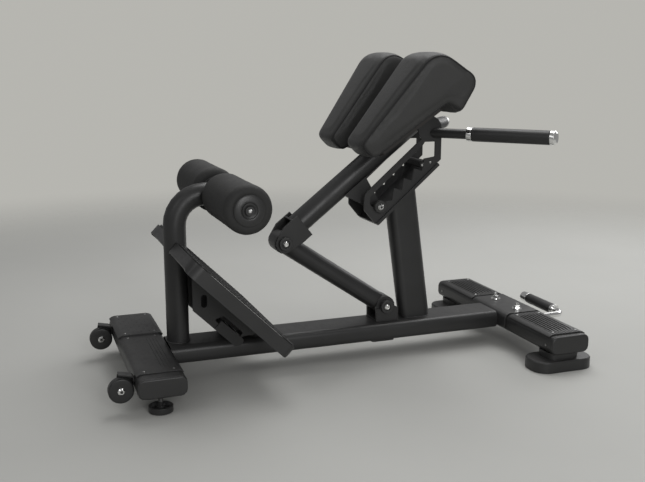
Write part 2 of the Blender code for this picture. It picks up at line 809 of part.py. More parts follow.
def wheel_fork(side, at):
    """A bent bracket: a cheek on the left of the wheel, a sloping hood over it and the wheel's bolt."""
    half = WHEEL_WIDTH / 2
    bar_side = REAR_BAR_X - BAR_WIDTH / 2 - GAP - WHEEL_X
    hood_low = WHEEL_RADIUS + WHEEL_CLEAR
    cheek_in = half + FORK_CLEAR
    cheek_out = cheek_in + FORK_SHEET
    cheek = rounded(
        [
            (-FORK_REACH, hood_low + FORK_SHEET, FORK_CORNER),
            (-FORK_CHEEK_X, -FORK_CHEEK_DROP, FORK_CHEEK_ROUND),
            (0, -FORK_EYE_DROP, FORK_CORNER),
            (bar_side, FORK_HEEL_Z, 0),
            (bar_side, hood_low + FORK_SHEET - FORK_FALL, FORK_CORNER),
        ]
    )
    fork = add("wheel_fork_" + side, slab(cheek, cheek_in, cheek_out), BLACK_PAINT, at)
    hood = rounded(
        [
            (-FORK_REACH, hood_low, 0),
            (-FORK_REACH, hood_low + FORK_SHEET, BOLT_EDGE),
            (bar_side, hood_low + FORK_SHEET - FORK_FALL, FORK_CORNER),
            (bar_side, hood_low - FORK_FLANGE, 0),
            (bar_side - FORK_SHEET, hood_low - FORK_FLANGE, 0),
            (bar_side - FORK_SHEET, hood_low - FORK_FALL, FORK_SHEET),
        ]
    )
    join(fork, helper("hood_" + side, slab(hood, -half - FORK_HOOD_OVER, cheek_out - FORK_HOOD_BACK), at))
    face = half + RUNNING
    bolt = [
        (0, -face - WHEEL_BOLT_HEAD_THICK),
        (WHEEL_BOLT_HEAD - BOLT_EDGE, -face - WHEEL_BOLT_HEAD_THICK),
        (WHEEL_BOLT_HEAD, -face - WHEEL_BOLT_HEAD_THICK + BOLT_EDGE),
        (WHEEL_BOLT_HEAD, -face),
        (WHEEL_BOLT, -face),
        (WHEEL_BOLT, cheek_out + WHEEL_BOLT_END),
        (0, cheek_out + WHEEL_BOLT_END),
    ]
    join(fork, helper("wheel_bolt_" + side, turned(bolt, SMALL_STEPS), at, ALONG_Y))


def roller_post():
    floor = BAR_TOP + GAP
    end_x = ROLLER_X - ROLLER_HUB - GAP
    path = bend_points((POST_X, 0, floor), (POST_X, 0, ROLLER_Z), (end_x, 0, ROLLER_Z), POST_BEND, 7)
    shape = tube(path, (0, 1, 0), ring_outline(POST_RADIUS), ring_outline(POST_RADIUS - WALL))
    add("roller_post", shape, BLACK_PAINT)


def foam_rollers():
    reach = ROLLER_OUT + CORE_DOME + AXLE_PROUD
    axle = [
        (0, -reach),
        (AXLE_HEAD, -reach),
        (AXLE_HEAD, -reach + AXLE_HEAD_THICK),
        (AXLE_RADIUS, -reach + AXLE_HEAD_THICK),
        (AXLE_RADIUS, -ROLLER_HUB_HALF),
        (ROLLER_HUB, -ROLLER_HUB_HALF),
        (ROLLER_HUB, ROLLER_HUB_HALF),
        (AXLE_RADIUS, ROLLER_HUB_HALF),
        (AXLE_RADIUS, reach - AXLE_HEAD_THICK),
        (AXLE_HEAD, reach - AXLE_HEAD_THICK),
        (AXLE_HEAD, reach),
        (0, reach),
    ]
    add("roller_axle", turned(axle), BLACK_PAINT, (ROLLER_X, 0, ROLLER_Z), ALONG_Y)
    bore = AXLE_RADIUS + RUNNING
    seat = reach - AXLE_HEAD_THICK - RUNNING
    flange_out = ROLLER_OUT + CORE_FLANGE_THICK
    core = [
        (bore, ROLLER_HUB_HALF + CORE_CLEAR),
        (CORE_FLANGE, ROLLER_HUB_HALF + CORE_CLEAR),
        (CORE_FLANGE, ROLLER_IN - GAP),
        (CORE_TUBE, ROLLER_IN - GAP),
        (CORE_TUBE, ROLLER_OUT + GAP),
        (CORE_FLANGE, ROLLER_OUT + GAP),
        (CORE_FLANGE - CORE_FLANGE_EDGE, flange_out + CORE_FLANGE_EDGE),
        (CORE_CROWN, flange_out + CORE_CROWN_RISE),
        (AXLE_HEAD + CORE_RIM_OUTER, seat + CORE_CLEAR),
        (AXLE_HEAD + CORE_RIM_INNER, seat),
        (bore, seat),
    ]
    foam_bore = CORE_TUBE + GAP
    foam = [(foam_bore, ROLLER_IN), (ROLLER_RADIUS - ROLLER_EDGE, ROLLER_IN)]
    foam += [
        (ROLLER_RADIUS - ROLLER_EDGE + ROLLER_EDGE * sin(a), ROLLER_IN + ROLLER_EDGE - ROLLER_EDGE * cos(a))
        for a in (pi / 8, pi / 4, 3 * pi / 8, pi / 2)
    ]
    foam += [
        (ROLLER_RADIUS - ROLLER_EDGE + ROLLER_EDGE * cos(a), ROLLER_OUT - ROLLER_EDGE + ROLLER_EDGE * sin(a))
        for a in (0, pi / 8, pi / 4, 3 * pi / 8, pi / 2)
    ]
    foam.append((foam_bore, ROLLER_OUT))
    for side, sign in SIDES:
        axis = axis_empty("roller_axis_" + side, ROLLER_X, 0, ROLLER_Z)
        facing = turn_xyz((1, 0, 0), (0, 0, -sign))
        place = (ROLLER_X, 0, ROLLER_Z)
        add("roller_core_" + side, turned(core, bored=True), BLACK_PLASTIC, place, facing, axis)
        add("foam_roller_" + side, turned(foam, ROLLER_STEPS, bored=True), BLACK_FOAM, place, facing, axis)


def notch_depth():
    """How far the notch runs down the slope to clear the post at the tray's underside."""
    right = POST_X + POST_RADIUS + NOTCH_CLEAR
    return (right - TRAY_TIP_X + TRAY_DEPTH * sin(TRAY_SLOPE)) / cos(TRAY_SLOPE)


def tray_plan(inset):
    """The tray's plan, moved in by the inset: u down the slope, then y."""
    high = inset
    low = TRAY_LENGTH - inset
    wide = TRAY_HALF - inset
    slot = POST_RADIUS + NOTCH_CLEAR + inset
    deep = notch_depth() + inset
    corner = TRAY_ROUND - inset
    half = [
        (deep, slot, slot * NOTCH_END_SHARE),
        (high, slot, NOTCH_ROUND),
        (high, wide, corner),
        (low, wide, TRAY_LOW_ROUND - inset),
    ]
    return rounded(half + [(u, -y, r) for u, y, r in half[::-1]], 4)


def foot_plate():
    """The tray, its tread, the folded support under it and the strut down to the rail."""
    facing = turn_xyz((cos(TRAY_SLOPE), 0, -sin(TRAY_SLOPE)), (0, 1, 0))
    at = (TRAY_TIP_X, 0, TRAY_TIP_Z)
    tray = add("foot_plate", slab(tray_plan(0), -TRAY_DEPTH, 0, "XY"), BLACK_PAINT, at, facing)
    profile = [
        (0, 0, 0),
        (0, -TRAY_DEPTH, TRAY_SKIRT_ROUND),
        (TRAY_LENGTH, -TRAY_DEPTH, TRAY_SKIRT_ROUND),
        (TRAY_LENGTH, 0, TRAY_LIP_ROUND),
    ]
    side = slab(rounded(profile), -TRAY_HALF - CUT_PAST, TRAY_HALF + CUT_PAST)
    combine(tray, helper("tray_side", side, at, facing), "INTERSECT")
    hollow = slab(tray_plan(TRAY_SHEET), -TRAY_DEPTH - CUT_PAST, -TRAY_SHEET, "XY")
    cut(tray, helper("tray_hollow", hollow, at, facing))
    tread = slab(tray_plan(FOOT_TREAD_MARGIN), GAP, GAP + FOOT_TREAD_SHEET, "XY")
    add("foot_tread", tread, BLACK_RUBBER, at, facing)
    foot_support()
    foot_strut()


def post_side_u(w):
    """How far down the slope the roller post's near side lies, at w above the tray's top."""
    return (POST_X + POST_RADIUS + GAP - TRAY_TIP_X - w * sin(TRAY_SLOPE)) / cos(TRAY_SLOPE)


def foot_support():
    """A folded support with a web in the middle, from the tray's underside to the strut, butted
    against the roller post."""
    under = -TRAY_SHEET - GAP
    rim = -TRAY_DEPTH - GAP
    strut_top = -SUPPORT_DROP + STRUT_THICK + GAP
    start_u = notch_depth() + TRAY_SHEET + GAP
    low_u = STRUT_END - SUPPORT_INSET
    outline = [
        tray_point(start_u, under),
        tray_point(start_u, rim),
        tray_point(post_side_u(rim), rim),
        tray_point(post_side_u(-SUPPORT_DROP), -SUPPORT_DROP),
        tray_point(STRUT_START - GAP, -SUPPORT_DROP),
        tray_point(STRUT_START - GAP, strut_top),
        tray_point(low_u, strut_top),
        tray_point(low_u + SUPPORT_TAIL_WAIST, strut_top + SUPPORT_TAIL_RISE),
        tray_point(low_u + SUPPORT_TAIL, strut_top + SUPPORT_TAIL_HIGH),
        tray_point(low_u + SUPPORT_TAIL, under),
    ]
    support = add("foot_support", slab(outline, -SUPPORT_HALF, SUPPORT_HALF), BLACK_PAINT)
    inside = SUPPORT_HALF - SUPPORT_SHEET
    far = 2 * SUPPORT_DROP
    hollow = [
        tray_point(-far, under - SUPPORT_SHEET),
        tray_point(-far, -far),
        tray_point(TRAY_LENGTH, -far),
        tray_point(TRAY_LENGTH, under - SUPPORT_SHEET),
    ]
    for low, high in ((-inside, -SUPPORT_WEB / 2), (SUPPORT_WEB / 2, inside)):
        cut(support, helper("support_hollow", slab(hollow, low, high)))
    hole = rounded_box(SUPPORT_HOLE_LONG, SUPPORT_HOLE_HIGH, SUPPORT_HOLE_ROUND)
    hole_x, hole_z = tray_point(SUPPORT_HOLE_U, SUPPORT_HOLE_W)
    window = [(p.x, p.y) for p in hole]
    slot = [
        (*tray_point(STRUT_START - SUPPORT_SLOT_START, strut_top - SUPPORT_SLOT_DEEP), SUPPORT_SLOT_ROUND),
        (*tray_point(STRUT_START, strut_top - SUPPORT_SLOT_DEEP), 0),
        (*tray_point(STRUT_START, strut_top), 0),
        (*tray_point(STRUT_END - SUPPORT_SLOT_END, strut_top), SUPPORT_SLOT_ROUND),
        (*tray_point(STRUT_END - SUPPORT_SLOT_END, strut_top + SUPPORT_SLOT_HIGH), SUPPORT_SLOT_ROUND),
        (*tray_point(STRUT_START - SUPPORT_SLOT_PEAK, strut_top + SUPPORT_SLOT_HIGH), SUPPORT_SLOT_ROUND),
    ]
    for side, sign in SIDES:
        span = sorted((sign * (inside - CUT_PAST), sign * (SUPPORT_HALF + CUT_PAST)))
        cut(support, helper("support_window_" + side, slab(window, *span), (hole_x, 0, hole_z)))
        cut(support, helper("support_slot_" + side, slab(rounded(slot), *span)))


def foot_strut():
    high, low = -SUPPORT_DROP + STRUT_THICK, -SUPPORT_DROP
    corners = [
        (*tray_point(STRUT_START, high), 0),
        (*tray_point(STRUT_START, low), 0),
        (*tray_point(STRUT_END, low), STRUT_ROUND),
        (*tray_point(STRUT_END, high), STRUT_ROUND),
    ]
    strut = add("foot_strut", slab(rounded(corners), -BAR_WIDTH / 2, BAR_WIDTH / 2), BLACK_PAINT)
    rail = tube([(TRAY_TIP_X, 0, 0), (0, 0, 0)], (0, 0, 1), bar_outline(GAP))
    cut(strut, helper("rail_room", rail, (0, 0, bar_centre_z())))


def pivot_pin(name, x, z, half, parent=None):
    """A pin with a round recessed boss at each end, its shaft along Y."""
    inner = half + GAP
    outer = inner + BOSS_THICK
    side = [
        (0, outer - BOSS_RECESS_DEPTH),
        (BOSS_RECESS, outer - BOSS_RECESS_DEPTH),
        (BOSS_RECESS + FINE_EDGE, outer),
        (BOSS_RADIUS - SOFT_EDGE, outer),
        (BOSS_RADIUS, outer - SOFT_EDGE),
        (BOSS_RADIUS, inner),
        (PIN_RADIUS, inner),
    ]
    profile = side + [(r, -h) for r, h in side[::-1]]
    add(name, turned(profile, SMALL_STEPS), SATIN_BLACK, (x, 0, z), ALONG_Y, parent)


def ear_half():
    return SLEEVE_HALF + GAP + EAR_SHEET


def pin_hole(name, obj, x, z, radius, parent=None):
    reach = PLATE_OUT + CUT_PAST
    profile = [(0, -reach), (radius, -reach), (radius, reach), (0, reach)]
    cutter = helper(name, turned(profile, SMALL_STEPS), (x, 0, z), ALONG_Y)
    cut(obj, cutter)


def base_bracket():
    """The U bracket on the rail that carries the link, and the clamp plate under the rail."""
    floor = BAR_TOP + GAP
    arc = [pi * k / 10 for k in range(11)]
    outline = [(BASE_PIVOT_X + BASE_NOSE * cos(a), BASE_PIVOT_Z + BASE_NOSE * sin(a)) for a in arc]
    back = BASE_PIVOT_X - BASE_EAR_BACK
    front = BASE_PIVOT_X + BASE_EAR_FRONT
    shoulder = BASE_PIVOT_Z - BASE_SHOULDER
    outline += [
        (BASE_PIVOT_X - BASE_NOSE, shoulder),
        (back, shoulder),
        (back, floor),
        (front, floor),
        (front, shoulder),
        (front - BASE_EAR_SLOPE, BASE_PIVOT_Z),
    ]
    bracket = add("base_bracket", slab(outline, -ear_half(), ear_half()), BLACK_PAINT)
    inside = ear_half() - EAR_SHEET
    room = box(
        (back - CUT_PAST, front + CUT_PAST),
        (-inside, inside),
        (floor + EAR_SHEET, BASE_PIVOT_Z + BASE_NOSE + CUT_PAST),
    )
    cut(bracket, helper("base_room", room))
    pin_hole("base_pin_hole", bracket, BASE_PIVOT_X, BASE_PIVOT_Z, PIN_RADIUS + RUNNING)
    pivot_pin("base_pin", BASE_PIVOT_X, BASE_PIVOT_Z, ear_half())
    under = BAR_TOP - BAR_HEIGHT - GAP
    clamp_x = BASE_PIVOT_X - CLAMP_BACK
    clamp = rounded_box(CLAMP_LENGTH, 2 * CLAMP_HALF, CLAMP_ROUND)
    add("clamp_plate", slab(clamp, under - CLAMP_SHEET, under, "XY"), BLACK_PAINT, (clamp_x, 0, 0))


def lower_link(link_axis):
    """The link: a round bar, hollow between its two pivot sleeves, with a drain hole underneath."""
    length = hypot(ELBOW_X - BASE_PIVOT_X, ELBOW_Z - BASE_PIVOT_Z)
    along = Vector((ELBOW_X - BASE_PIVOT_X, 0, ELBOW_Z - BASE_PIVOT_Z)).normalized()
    facing = turn_xyz(along, (0, 1, 0))
    at = (BASE_PIVOT_X, 0, BASE_PIVOT_Z)
    bar = tube([(0, 0, 0), (length, 0, 0)], (0, 1, 0), ring_outline(LINK_RADIUS))
    link = add("lower_link", bar, BLACK_PAINT, at, facing, link_axis)
    half = SLEEVE_HALF
    sleeve = [(0, -half), (SLEEVE_RADIUS, -half), (SLEEVE_RADIUS, half), (0, half)]
    for name, x, z in (("sleeve_base", BASE_PIVOT_X, BASE_PIVOT_Z), ("sleeve_elbow", ELBOW_X, ELBOW_Z)):
        join(link, helper(name, turned(sleeve), (x, 0, z), ALONG_Y))
    for name, x, z in (("base_bore", BASE_PIVOT_X, BASE_PIVOT_Z), ("elbow_bore", ELBOW_X, ELBOW_Z)):
        pin_hole(name, link, x, z, PIN_RADIUS + RUNNING)
    plug = SLEEVE_RADIUS + WALL
    hollow = tube([(plug, 0, 0), (length - plug, 0, 0)], (0, 1, 0), ring_outline(LINK_RADIUS - WALL))
    cut(link, helper("link_hollow", hollow, at, facing))
    low = -LINK_RADIUS - WALL
    high = low + 3 * WALL
    drain = [(0, low), (DRAIN_RADIUS, low), (DRAIN_RADIUS, high), (0, high)]
    drain_x = BASE_PIVOT_X + along.x * length / 2
    drain_z = BASE_PIVOT_Z + along.z * length / 2
    cut(link, helper("link_drain", turned(drain, SMALL_STEPS), (drain_x, 0, drain_z), facing))


def arm_box(u_low, u_high, half):
    """A box across the arm from u_low to u_high, high enough to cut through any piece on the arm."""
    reach = 5 * ARM_RADIUS
    corners = [(u_low, -reach), (u_high, -reach), (u_high, reach), (u_low, reach)]
    return slab([arm_point(u, v) for u, v in corners], -half, half)


def elbow_clevis(arm_axis):
    """Two cheeks round the elbow, joined by a web in front of the arm tube."""
    cheek = []
    for k in range(9):
        angle = CLEVIS_ARC_START + (CLEVIS_ARC_END - CLEVIS_ARC_START) * k / 8
        cheek.append(arm_point(CLEVIS_RADIUS * cos(angle), CLEVIS_RADIUS * sin(angle)))
    cheek += [
        arm_point(CLEVIS_LOW_START, -CLEVIS_DOWN),
        arm_point(CLEVIS_LENGTH, -CLEVIS_DOWN),
        arm_point(CLEVIS_LENGTH, CLEVIS_UP),
        arm_point(CLEVIS_HIGH_START, CLEVIS_UP),
    ]
    half = ear_half()
    clevis = add("elbow_clevis", slab(cheek, -half, half), BLACK_PAINT, parent=arm_axis)
    inside = half - EAR_SHEET
    web_end = ARM_START - GAP
    cut(clevis, helper("clevis_room", arm_box(-CLEVIS_LENGTH, web_end - WEB_SHEET, inside)))
    cut(clevis, helper("clevis_seat", arm_box(web_end, 2 * CLEVIS_LENGTH, inside)))
    pin_hole("clevis_pin_hole", clevis, ELBOW_X, ELBOW_Z, PIN_RADIUS + RUNNING)
    pivot_pin("elbow_pin", ELBOW_X, ELBOW_Z, half, arm_axis)


def pad_arm(arm_axis):
    facing = turn_xyz((cos(ARM_ANGLE), 0, sin(ARM_ANGLE)), (0, 1, 0))
    at_x, at_z = arm_point(0, ARM_OFFSET)
    at = (at_x, 0, at_z)
    shape = tube(
        [(ARM_START, 0, 0), (ARM_END, 0, 0)],
        (0, 1, 0),
        ring_outline(ARM_RADIUS),
        ring_outline(ARM_RADIUS - WALL),
    )
    add("pad_arm", shape, BLACK_PAINT, at, facing, arm_axis)
    plug = ARM_RADIUS - WALL - GAP
    profile = [
        (0, ARM_END - ARM_CAP_PLUG),
        (plug, ARM_END - ARM_CAP_PLUG),
        (plug, ARM_END + GAP),
        (ARM_RADIUS, ARM_END + GAP),
        (ARM_RADIUS - FINE_EDGE, ARM_END + ARM_CAP_SHEET),
        (0, ARM_END + ARM_CAP_SHEET),
    ]
    outward = turn_xyz((0, 1, 0), (-sin(ARM_ANGLE), 0, cos(ARM_ANGLE)))
    add("arm_cap", turned(profile), BLACK_PLASTIC, at, outward, arm_axis)


def arm_gusset(arm_axis):
    """A folded gusset that hangs from the arm and carries the latch pin."""
    latch_x, latch_z = latch_point()
    eye = []
    for k in range(7):
        angle = EYE_START + EYE_SWEEP * k / 6
        eye.append((latch_x + LATCH_EYE * cos(angle), latch_z + LATCH_EYE * sin(angle)))
    top = ARM_OFFSET - sqrt(ARM_RADIUS**2 - (GUSSET_HALF - GUSSET_SHEET) ** 2) - GAP
    outline = eye + [arm_point(GUSSET_TOP_END, top), arm_point(GUSSET_TOP_START, top)]
    gusset = add("arm_gusset", slab(outline, -GUSSET_HALF, GUSSET_HALF), BLACK_PAINT, parent=arm_axis)
    inside = GUSSET_HALF - GUSSET_SHEET
    room = arm_box(GUSSET_TOP_START + GUSSET_WEB, ARM_END, inside)
    cut(gusset, helper("gusset_room", room))
    facing = turn_xyz((cos(ARM_ANGLE), 0, sin(ARM_ANGLE)), (0, 1, 0))
    at_x, at_z = arm_point(0, ARM_OFFSET)
    seat = tube([(0, 0, 0), (ARM_END, 0, 0)], (0, 1, 0), ring_outline(ARM_RADIUS + GAP))
    cut(gusset, helper("gusset_seat", seat, (at_x, 0, at_z), facing))
    pin_hole("gusset_pin_hole", gusset, latch_x, latch_z, LATCH_RADIUS + GAP)
    latch_pin(latch_x, latch_z, inside, arm_axis)


def latch_pin(x, z, sleeve_half, arm_axis):
    """The pin: a thick sleeve inside the gusset, a neck through the ladder plates, a boss outside."""
    boss = PLATE_OUT + 2 * GAP
    sleeve = sleeve_half - GAP
    outer = boss + LATCH_BOSS_THICK
    side = [
        (0, outer + LATCH_HEAD_THICK),
        (LATCH_HEAD - FINE_EDGE, outer + LATCH_HEAD_THICK),
        (LATCH_HEAD, outer + LATCH_HEAD_THICK - FINE_EDGE),
        (LATCH_HEAD, outer),
        (LATCH_BOSS - BOLT_EDGE, outer),
        (LATCH_BOSS, outer - BOLT_EDGE),
        (LATCH_BOSS, boss),
        (LATCH_RADIUS, boss),
        (LATCH_RADIUS, sleeve),
        (LATCH_SLEEVE, sleeve),
    ]
    profile = side + [(r, -h) for r, h in side[::-1]]
    add("latch_pin", turned(profile, SMALL_STEPS), SATIN_BLACK, (x, 0, z), ALONG_Y, arm_axis)


def first_tooth(corner_x, corner_z):
    """The lowest tooth is cut back to the line that the latch pin rises along."""
    latch_x, latch_z = latch_point()
    early_x, early_z = latch_at(FIRST_LIFT_SHARE)
    rise = atan2(early_z - latch_z, early_x - latch_x)
    reach = NOTCH_PITCH * FIRST_TOOTH_SHARE
    return (corner_x + reach * cos(rise), corner_z + reach * sin(rise))


def plate_window():
    """The toothed opening of a ladder plate."""
    corners = [(NOTCH_X - NOTCH_REACH, NOTCH_Z + NOTCH_REACH * tan(NOTCH_FLOOR), WINDOW_ROUND)]
    for k in range(NOTCHES):
        along_x, along_z = ladder_point(k * NOTCH_PITCH, 0)
        corner_x, corner_z = NOTCH_X + along_x, NOTCH_Z + along_z
        if k == 0:
            corners.append((corner_x, corner_z, 0))
            corners.append((*first_tooth(corner_x, corner_z), TOOTH_ROUND))
        else:
            corners.append((corner_x, corner_z, TOOTH_ROUND))
            corners.append((corner_x + TOOTH_LEAN, corner_z + TOOTH_RISE, TOOTH_ROUND))
    corners.append((STRUT_IN_X, STRUT_FOOT_Z, WINDOW_STRUT_ROUND))
    corners.append((STRUT_IN_X, WINDOW_TOP_Z, WINDOW_STRUT_ROUND))
    corners.append((WINDOW_CHAMFER_X, WINDOW_TOP_Z, 0))
    head_s = WINDOW_CHAMFER_X * cos(LADDER_ANGLE) + WINDOW_TOP_Z * sin(LADDER_ANGLE) - WINDOW_HEAD_BACK
    corners.append((*ladder_point(head_s, BAND_LOW), WINDOW_ROUND))
    left_s = (WINDOW_LEFT_X + BAND_LOW * sin(LADDER_ANGLE)) / cos(LADDER_ANGLE)
    corners.append((*ladder_point(left_s, BAND_LOW), WINDOW_BAND_ROUND))
    corners.append((WINDOW_LEFT_X, NOTCH_Z + WINDOW_LEFT_RISE, WINDOW_LEFT_ROUND))
    return rounded(corners)


def plate_outline():
    left_s = (PLATE_LEFT_X + BAND_TOP * sin(LADDER_ANGLE)) / cos(LADDER_ANGLE)
    end_s = (HEAD_X + HEAD_RADIUS + PLATE_LOW * sin(LADDER_ANGLE)) / cos(LADDER_ANGLE)
    head_n = HEAD_Z * cos(LADDER_ANGLE) - HEAD_X * sin(LADDER_ANGLE)
    start = pi + LADDER_ANGLE - asin((BAND_TOP - head_n) / HEAD_RADIUS)
    head = []
    for k in range(11):
        angle = start * k / 10
        head.append((HEAD_X + HEAD_RADIUS * cos(angle), HEAD_Z + HEAD_RADIUS * sin(angle), 0))
    corners = [
        (*ladder_point(PLATE_FOOT_S, PLATE_LOW), PLATE_FOOT_ROUND),
        (*ladder_point(end_s, PLATE_LOW), BASE_ROUND),
        *head,
        (*ladder_point(left_s, BAND_TOP), PLATE_BAND_ROUND),
        (PLATE_LEFT_X, PLATE_LEFT_LOW_Z, PLATE_LEFT_ROUND),
    ]
    return rounded(corners, 4)


def ladder_bracket():
    outline = plate_outline()
    window = plate_window()
    for side, sign in SIDES:
        low, high = sorted((sign * PLATE_OUT, sign * (PLATE_OUT - PLATE_SHEET)))
        plate = add("ladder_plate_" + side, slab(outline, low, high), BLACK_PAINT)
        cut(plate, helper("window_" + side, slab(window, low - CUT_PAST, high + CUT_PAST)))
    top = PLATE_LOW - GAP
    base = [
        (*ladder_point(SADDLE_BASE_START, top - SADDLE_BASE_SHEET), BASE_ROUND),
        (*ladder_point(SADDLE_BASE_END, top - SADDLE_BASE_SHEET), BASE_ROUND),
        (*ladder_point(SADDLE_BASE_END, top), 0),
        (*ladder_point(SADDLE_BASE_START, top), 0),
    ]
    add("ladder_base", slab(rounded(base), -SADDLE_BASE_HALF, SADDLE_BASE_HALF), BLACK_PAINT)
    inside = PLATE_OUT - PLATE_SHEET - GAP
    rod = [(0, -inside), (STOP_RADIUS, -inside), (STOP_RADIUS, inside), (0, inside)]
    add("stop_rod", turned(rod), BLACK_PLASTIC, (STOP_X, 0, STOP_Z), ALONG_Y)


def ladder_post():
    """The leaning post, cut level on the rail and along the ladder at its top."""
    outline = rounded_box(LADDER_POST_WIDTH, LADDER_POST_DEPTH, LADDER_POST_ROUND)
    inner = rounded_box(LADDER_POST_WIDTH - 2 * WALL, LADDER_POST_DEPTH - 2 * WALL, LADDER_POST_ROUND - WALL)
    floor = BAR_TOP + GAP
    below = PLATE_LOW - SADDLE_BASE_SHEET - 2 * GAP

    def foot(p):
        return Vector((LADDER_POST_X + p.x - (floor - BAR_TOP) * tan(LADDER_POST_LEAN), p.y, floor))

    def head(p):
        start = foot(p)
        lean = Vector((-sin(LADDER_POST_LEAN), 0, cos(LADDER_POST_LEAN)))
        square = Vector((-sin(LADDER_ANGLE), 0, cos(LADDER_ANGLE)))
        return start + lean * ((below - start.dot(square)) / lean.dot(square))

    rings = [
        [foot(p) for p in outline],
        [head(p) for p in outline],
        [head(p) for p in inner],
        [foot(p) for p in inner],
    ]
    add("ladder_post", loft(rings, closed=True), BLACK_PAINT)


def handles():
    """A bar, a chromed core with a collar and end cap, and a rubber grip on each side."""
    for side, sign in SIDES:
        along = Vector((cos(HANDLE_ANGLE), sign * sin(HANDLE_ANGLE), 0))
        outward = turn_xyz((0, 0, 1), along.cross(Vector((0, 0, 1))))
        at = Vector((HANDLE_START_X, sign * (PLATE_OUT + GAP), HANDLE_Z))
        across = Vector((0, 0, 1)).cross(along)
        rings = []
        for k, station in enumerate((0, HANDLE_BAR_LENGTH)):
            ring = []
            for p in ring_outline(HANDLE_BAR):
                point = along * station + across * p.x + Vector((0, 0, p.y))
                if k == 0:
                    point -= along * (point.y / along.y)
                ring.append(point)
            rings.append(ring)
        add("handle_bar_" + side, loft(rings), BLACK_PAINT, at)
        start = HANDLE_BAR_LENGTH + GAP
        grip_start = start + HANDLE_COLLAR_LONG
        grip_end = HANDLE_LENGTH - HANDLE_CAP_LONG
        core = [
            (0, start),
            (HANDLE_COLLAR - FINE_EDGE, start),
            (HANDLE_COLLAR, start + FINE_EDGE),
            (HANDLE_COLLAR, grip_start - GAP),
            (HANDLE_ROD, grip_start - GAP),
            (HANDLE_ROD, grip_end + GAP),
            (HANDLE_COLLAR, grip_end + GAP),
            (HANDLE_COLLAR, HANDLE_LENGTH - HANDLE_CAP_DOME),
            (HANDLE_COLLAR - HANDLE_CAP_EDGE, HANDLE_LENGTH),
            (0, HANDLE_LENGTH),
        ]
        add("handle_core_" + side, turned(core), CHROME, at, outward)
        grip = [
            (HANDLE_ROD + GAP, grip_start),
            (HANDLE_GRIP - SOFT_EDGE, grip_start),
            (HANDLE_GRIP, grip_start + SOFT_EDGE),
            (HANDLE_GRIP, grip_end - SOFT_EDGE),
            (HANDLE_GRIP - SOFT_EDGE, grip_end),
            (HANDLE_ROD + GAP, grip_end),
        ]
        add("handle_grip_" + side, turned(grip, bored=True), BLACK_RUBBER, at, outward)


def lift_handle():
    start = FRONT_BAR_X + BAR_WIDTH / 2 + GAP
    lift_x = FRONT_BAR_X + LIFT_REACH
    corner = (lift_x, LIFT_Y, LIFT_Z)
    path = bend_points((start, LIFT_Y, LIFT_Z), corner, (lift_x, LIFT_END_Y, LIFT_Z), LIFT_BEND, 5)
    handle = add("lift_handle", tube(path, (0, 0, 1), ring_outline(LIFT_TUBE, SMALL_STEPS)), CHROME)
    at = (lift_x, 0, LIFT_Z)
    along_y = turn_xyz((0, 0, 1), (1, 0, 0))
    cap = (LIFT_GRIP_END + GAP, LIFT_END_Y + LIFT_CAP_PROUD)
    collar = (LIFT_GRIP_START - LIFT_COLLAR_LONG, LIFT_GRIP_START - GAP)
    for low, high in (cap, collar):
        ring = [
            (0, low),
            (LIFT_COLLAR - FINE_EDGE, low),
            (LIFT_COLLAR, low + FINE_EDGE),
            (LIFT_COLLAR, high - FINE_EDGE),
            (LIFT_COLLAR - FINE_EDGE, high),
            (0, high),
        ]
        join(handle, helper("lift_collar", turned(ring, SMALL_STEPS), at, along_y))
    grip = [
        (LIFT_TUBE + GAP, LIFT_GRIP_START),
        (LIFT_GRIP - SOFT_EDGE, LIFT_GRIP_START),
        (LIFT_GRIP, LIFT_GRIP_START + SOFT_EDGE),
        (LIFT_GRIP, LIFT_GRIP_END - SOFT_EDGE),
        (LIFT_GRIP - SOFT_EDGE, LIFT_GRIP_END),
        (LIFT_TUBE + GAP, LIFT_GRIP_END),
    ]
    add("lift_grip", turned(grip, SMALL_STEPS, bored=True), BLACK_RUBBER, at, along_y)


def pad_floor():
    return BOARD_LOW + BOARD_SHEET + GAP


def pad_outline(inset):
    """A pad's side outline in arm coordinates, moved in by the inset. The underside stays level."""
    corners = [
        (PAD_FACE_LOW_U, PAD_FACE_LOW_V, PAD_FACE_LOW_ROUND),
        (PAD_HEEL_U, pad_floor(), PAD_HEEL_ROUND),
        (PAD_FLOOR_END_U, pad_floor(), PAD_LIP_ROUND),
        (PAD_LIP_U, PAD_LIP_V, PAD_LIP_ROUND),
        (PAD_BACK_U, PAD_BACK_V, PAD_BACK_ROUND),
        (PAD_FACE_HIGH_U, PAD_FACE_HIGH_V, PAD_FACE_HIGH_ROUND),
    ]
    count = len(corners)
    moved = []
    for k, (u, v, radius) in enumerate(corners):
        here = Vector((u, v))
        before = (here - Vector(corners[k - 1][:2])).normalized()
        after = (Vector(corners[(k + 1) % count][:2]) - here).normalized()
        inward = Vector((-before.y, before.x)) + Vector((-after.y, after.x))
        shift = inward / (1 + before.dot(after)) * inset
        level = v if k in (1, 2) else v + shift.y
        moved.append((u + shift.x, level, max(radius - inset / 2, PAD_LEAST_ROUND)))
    return rounded(moved, PAD_STEPS)


def pad_sides(u):
    """The inner and outer |y| of a pad at u along the arm."""
    part = (u - PAD_FACE_LOW_U) / (PAD_FACE_HIGH_U - PAD_FACE_LOW_U)
    inner = PAD_IN_LOW + (PAD_IN_HIGH - PAD_IN_LOW) * part
    outer = PAD_OUT_LOW + (PAD_OUT_HIGH - PAD_OUT_LOW) * part
    return inner, outer


